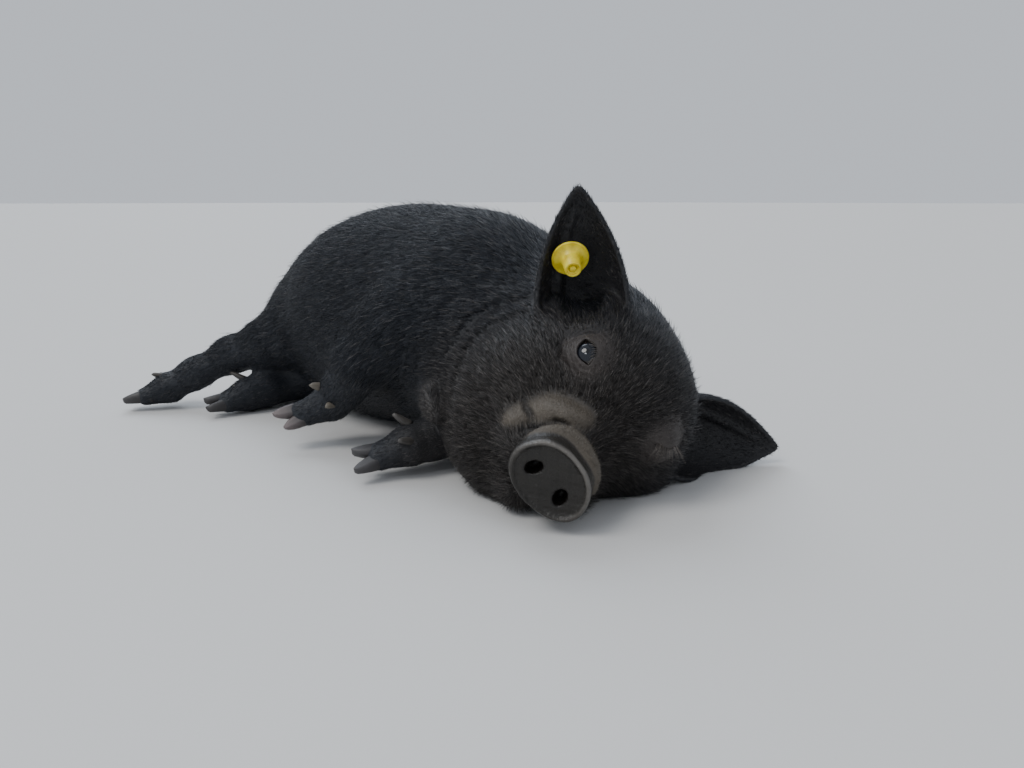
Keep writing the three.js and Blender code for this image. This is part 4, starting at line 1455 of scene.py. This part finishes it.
def lashes(name, eye, count, length):
    half_length, half_height = eye["opening"]
    share = np.linspace(-0.85, 0.85, count)
    drop = half_height * (1 - np.abs(share) ** 2.1) + 0.6
    q = np.stack([share * half_length, -drop, np.full(count, EYE_RADIUS + 0.5)], 1)
    fan = np.stack([share * 0.8, np.full(count, 0.7), np.full(count, 0.9)], 1)
    fan = fan + random.normal(0, 0.08, (count, 3))
    turn = np.array([1, eye["low"], 1])
    roots = eye["centre"] + (q * turn) @ eye["basis"].T
    ways = (fan * turn) @ eye["basis"].T
    normals = np.tile(eye["basis"][:, 2], (count, 1))
    colours = LASH_COLOUR * random.uniform(0.4, 2.2, count)[:, None]
    lengths = length * random.uniform(0.7, 1.2, count)
    widths = np.full(count, LASH_WIDTH)
    lifts = np.full(count, LASH_LIFT)
    hairs(name, roots, normals, ways, lengths, widths, lifts, colours, np.full(count, HEAD_ROW), True)


lashes("lashes_right", EYES["right"], 30, 4.0)
lashes("lashes_left", EYES["left"], 36, 10.0)


# The stage: a pale floor, soft light and the camera.
FLOOR_HALF = 40.0
floor_mesh = bpy.data.meshes.new("floor")
floor_corners = [(x * FLOOR_HALF, y * FLOOR_HALF, 0) for x, y in ((-1, -1), (1, -1), (1, 1), (-1, 1))]
floor_mesh.from_pydata(floor_corners, [], [(0, 1, 2, 3)])
floor = in_scene("floor", floor_mesh)
floor_look = Look("floor_pale")
floor_look.set("Base Color", (0.60, 0.595, 0.585, 1))
floor_look.set("Roughness", 0.7)
floor_mesh.materials.append(floor_look.material)
floor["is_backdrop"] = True

world = bpy.data.worlds.new("studio")
world.use_nodes = True
world.node_tree.nodes["Background"].inputs["Color"].default_value = (0.87, 0.92, 1.0, 1)
world.node_tree.nodes["Background"].inputs["Strength"].default_value = 0.72
bpy.context.scene.world = world


LIT_PLACE = Vector((0, 0, 0.06))


def aimed(name, light, place):
    lamp = in_scene(name, light)
    lamp.location = place
    lamp.rotation_euler = (LIT_PLACE - Vector(place)).to_track_quat("-Z", "Y").to_euler()


def soft_sun(name, place, strength, spread, colour):
    light = bpy.data.lights.new(name, "SUN")
    light.energy = strength
    light.angle = math.radians(spread)
    light.color = colour
    aimed(name, light, place)


soft_sun("key", (-0.3, -1.3, 2.0), 1.35, 26, (1, 0.985, 0.96))
soft_sun("back", (-1.5, 0.5, 1.7), 1.35, 40, (0.82, 0.9, 1.0))
window = bpy.data.lights.new("eye_light", "AREA")
window.shape = "RECTANGLE"
window.size = 0.26
window.size_y = 0.16
window.energy = 1.6
window.color = (0.92, 0.96, 1.0)
aimed("eye_light", window, (0.42, -0.95, 0.95))

# The camera: 27 mm lens, 150 mm above the ground, pitched down by the picture's own horizon.
FOCAL_PX = 769.0
HORIZON_ROW = 200.0
IMAGE_WIDTH, IMAGE_HEIGHT = 1024, 768
CAMERA_PLACE = np.array([444.4, -301.2, 150.0])
LOOK_ALONG = unit((-0.766, 0.643, 0.0))
camera_data = bpy.data.cameras.new("camera")
camera_data.sensor_width = 36.0
camera_data.lens = FOCAL_PX / IMAGE_WIDTH * camera_data.sensor_width
camera_data.clip_start = 0.01
camera = in_scene("camera", camera_data)
pitch = math.atan((IMAGE_HEIGHT / 2 - HORIZON_ROW) / FOCAL_PX)
look = Vector(LOOK_ALONG * math.cos(pitch) + np.array([0, 0, -math.sin(pitch)]))
camera.location = Vector(to_metres(CAMERA_PLACE))
camera.rotation_euler = look.to_track_quat("-Z", "Y").to_euler()
bpy.context.scene.camera = camera

boxes = {"cad": cad_box, "visual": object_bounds()}
{k: [[float(x) for x in corner] for corner in box] for k, box in boxes.items()}
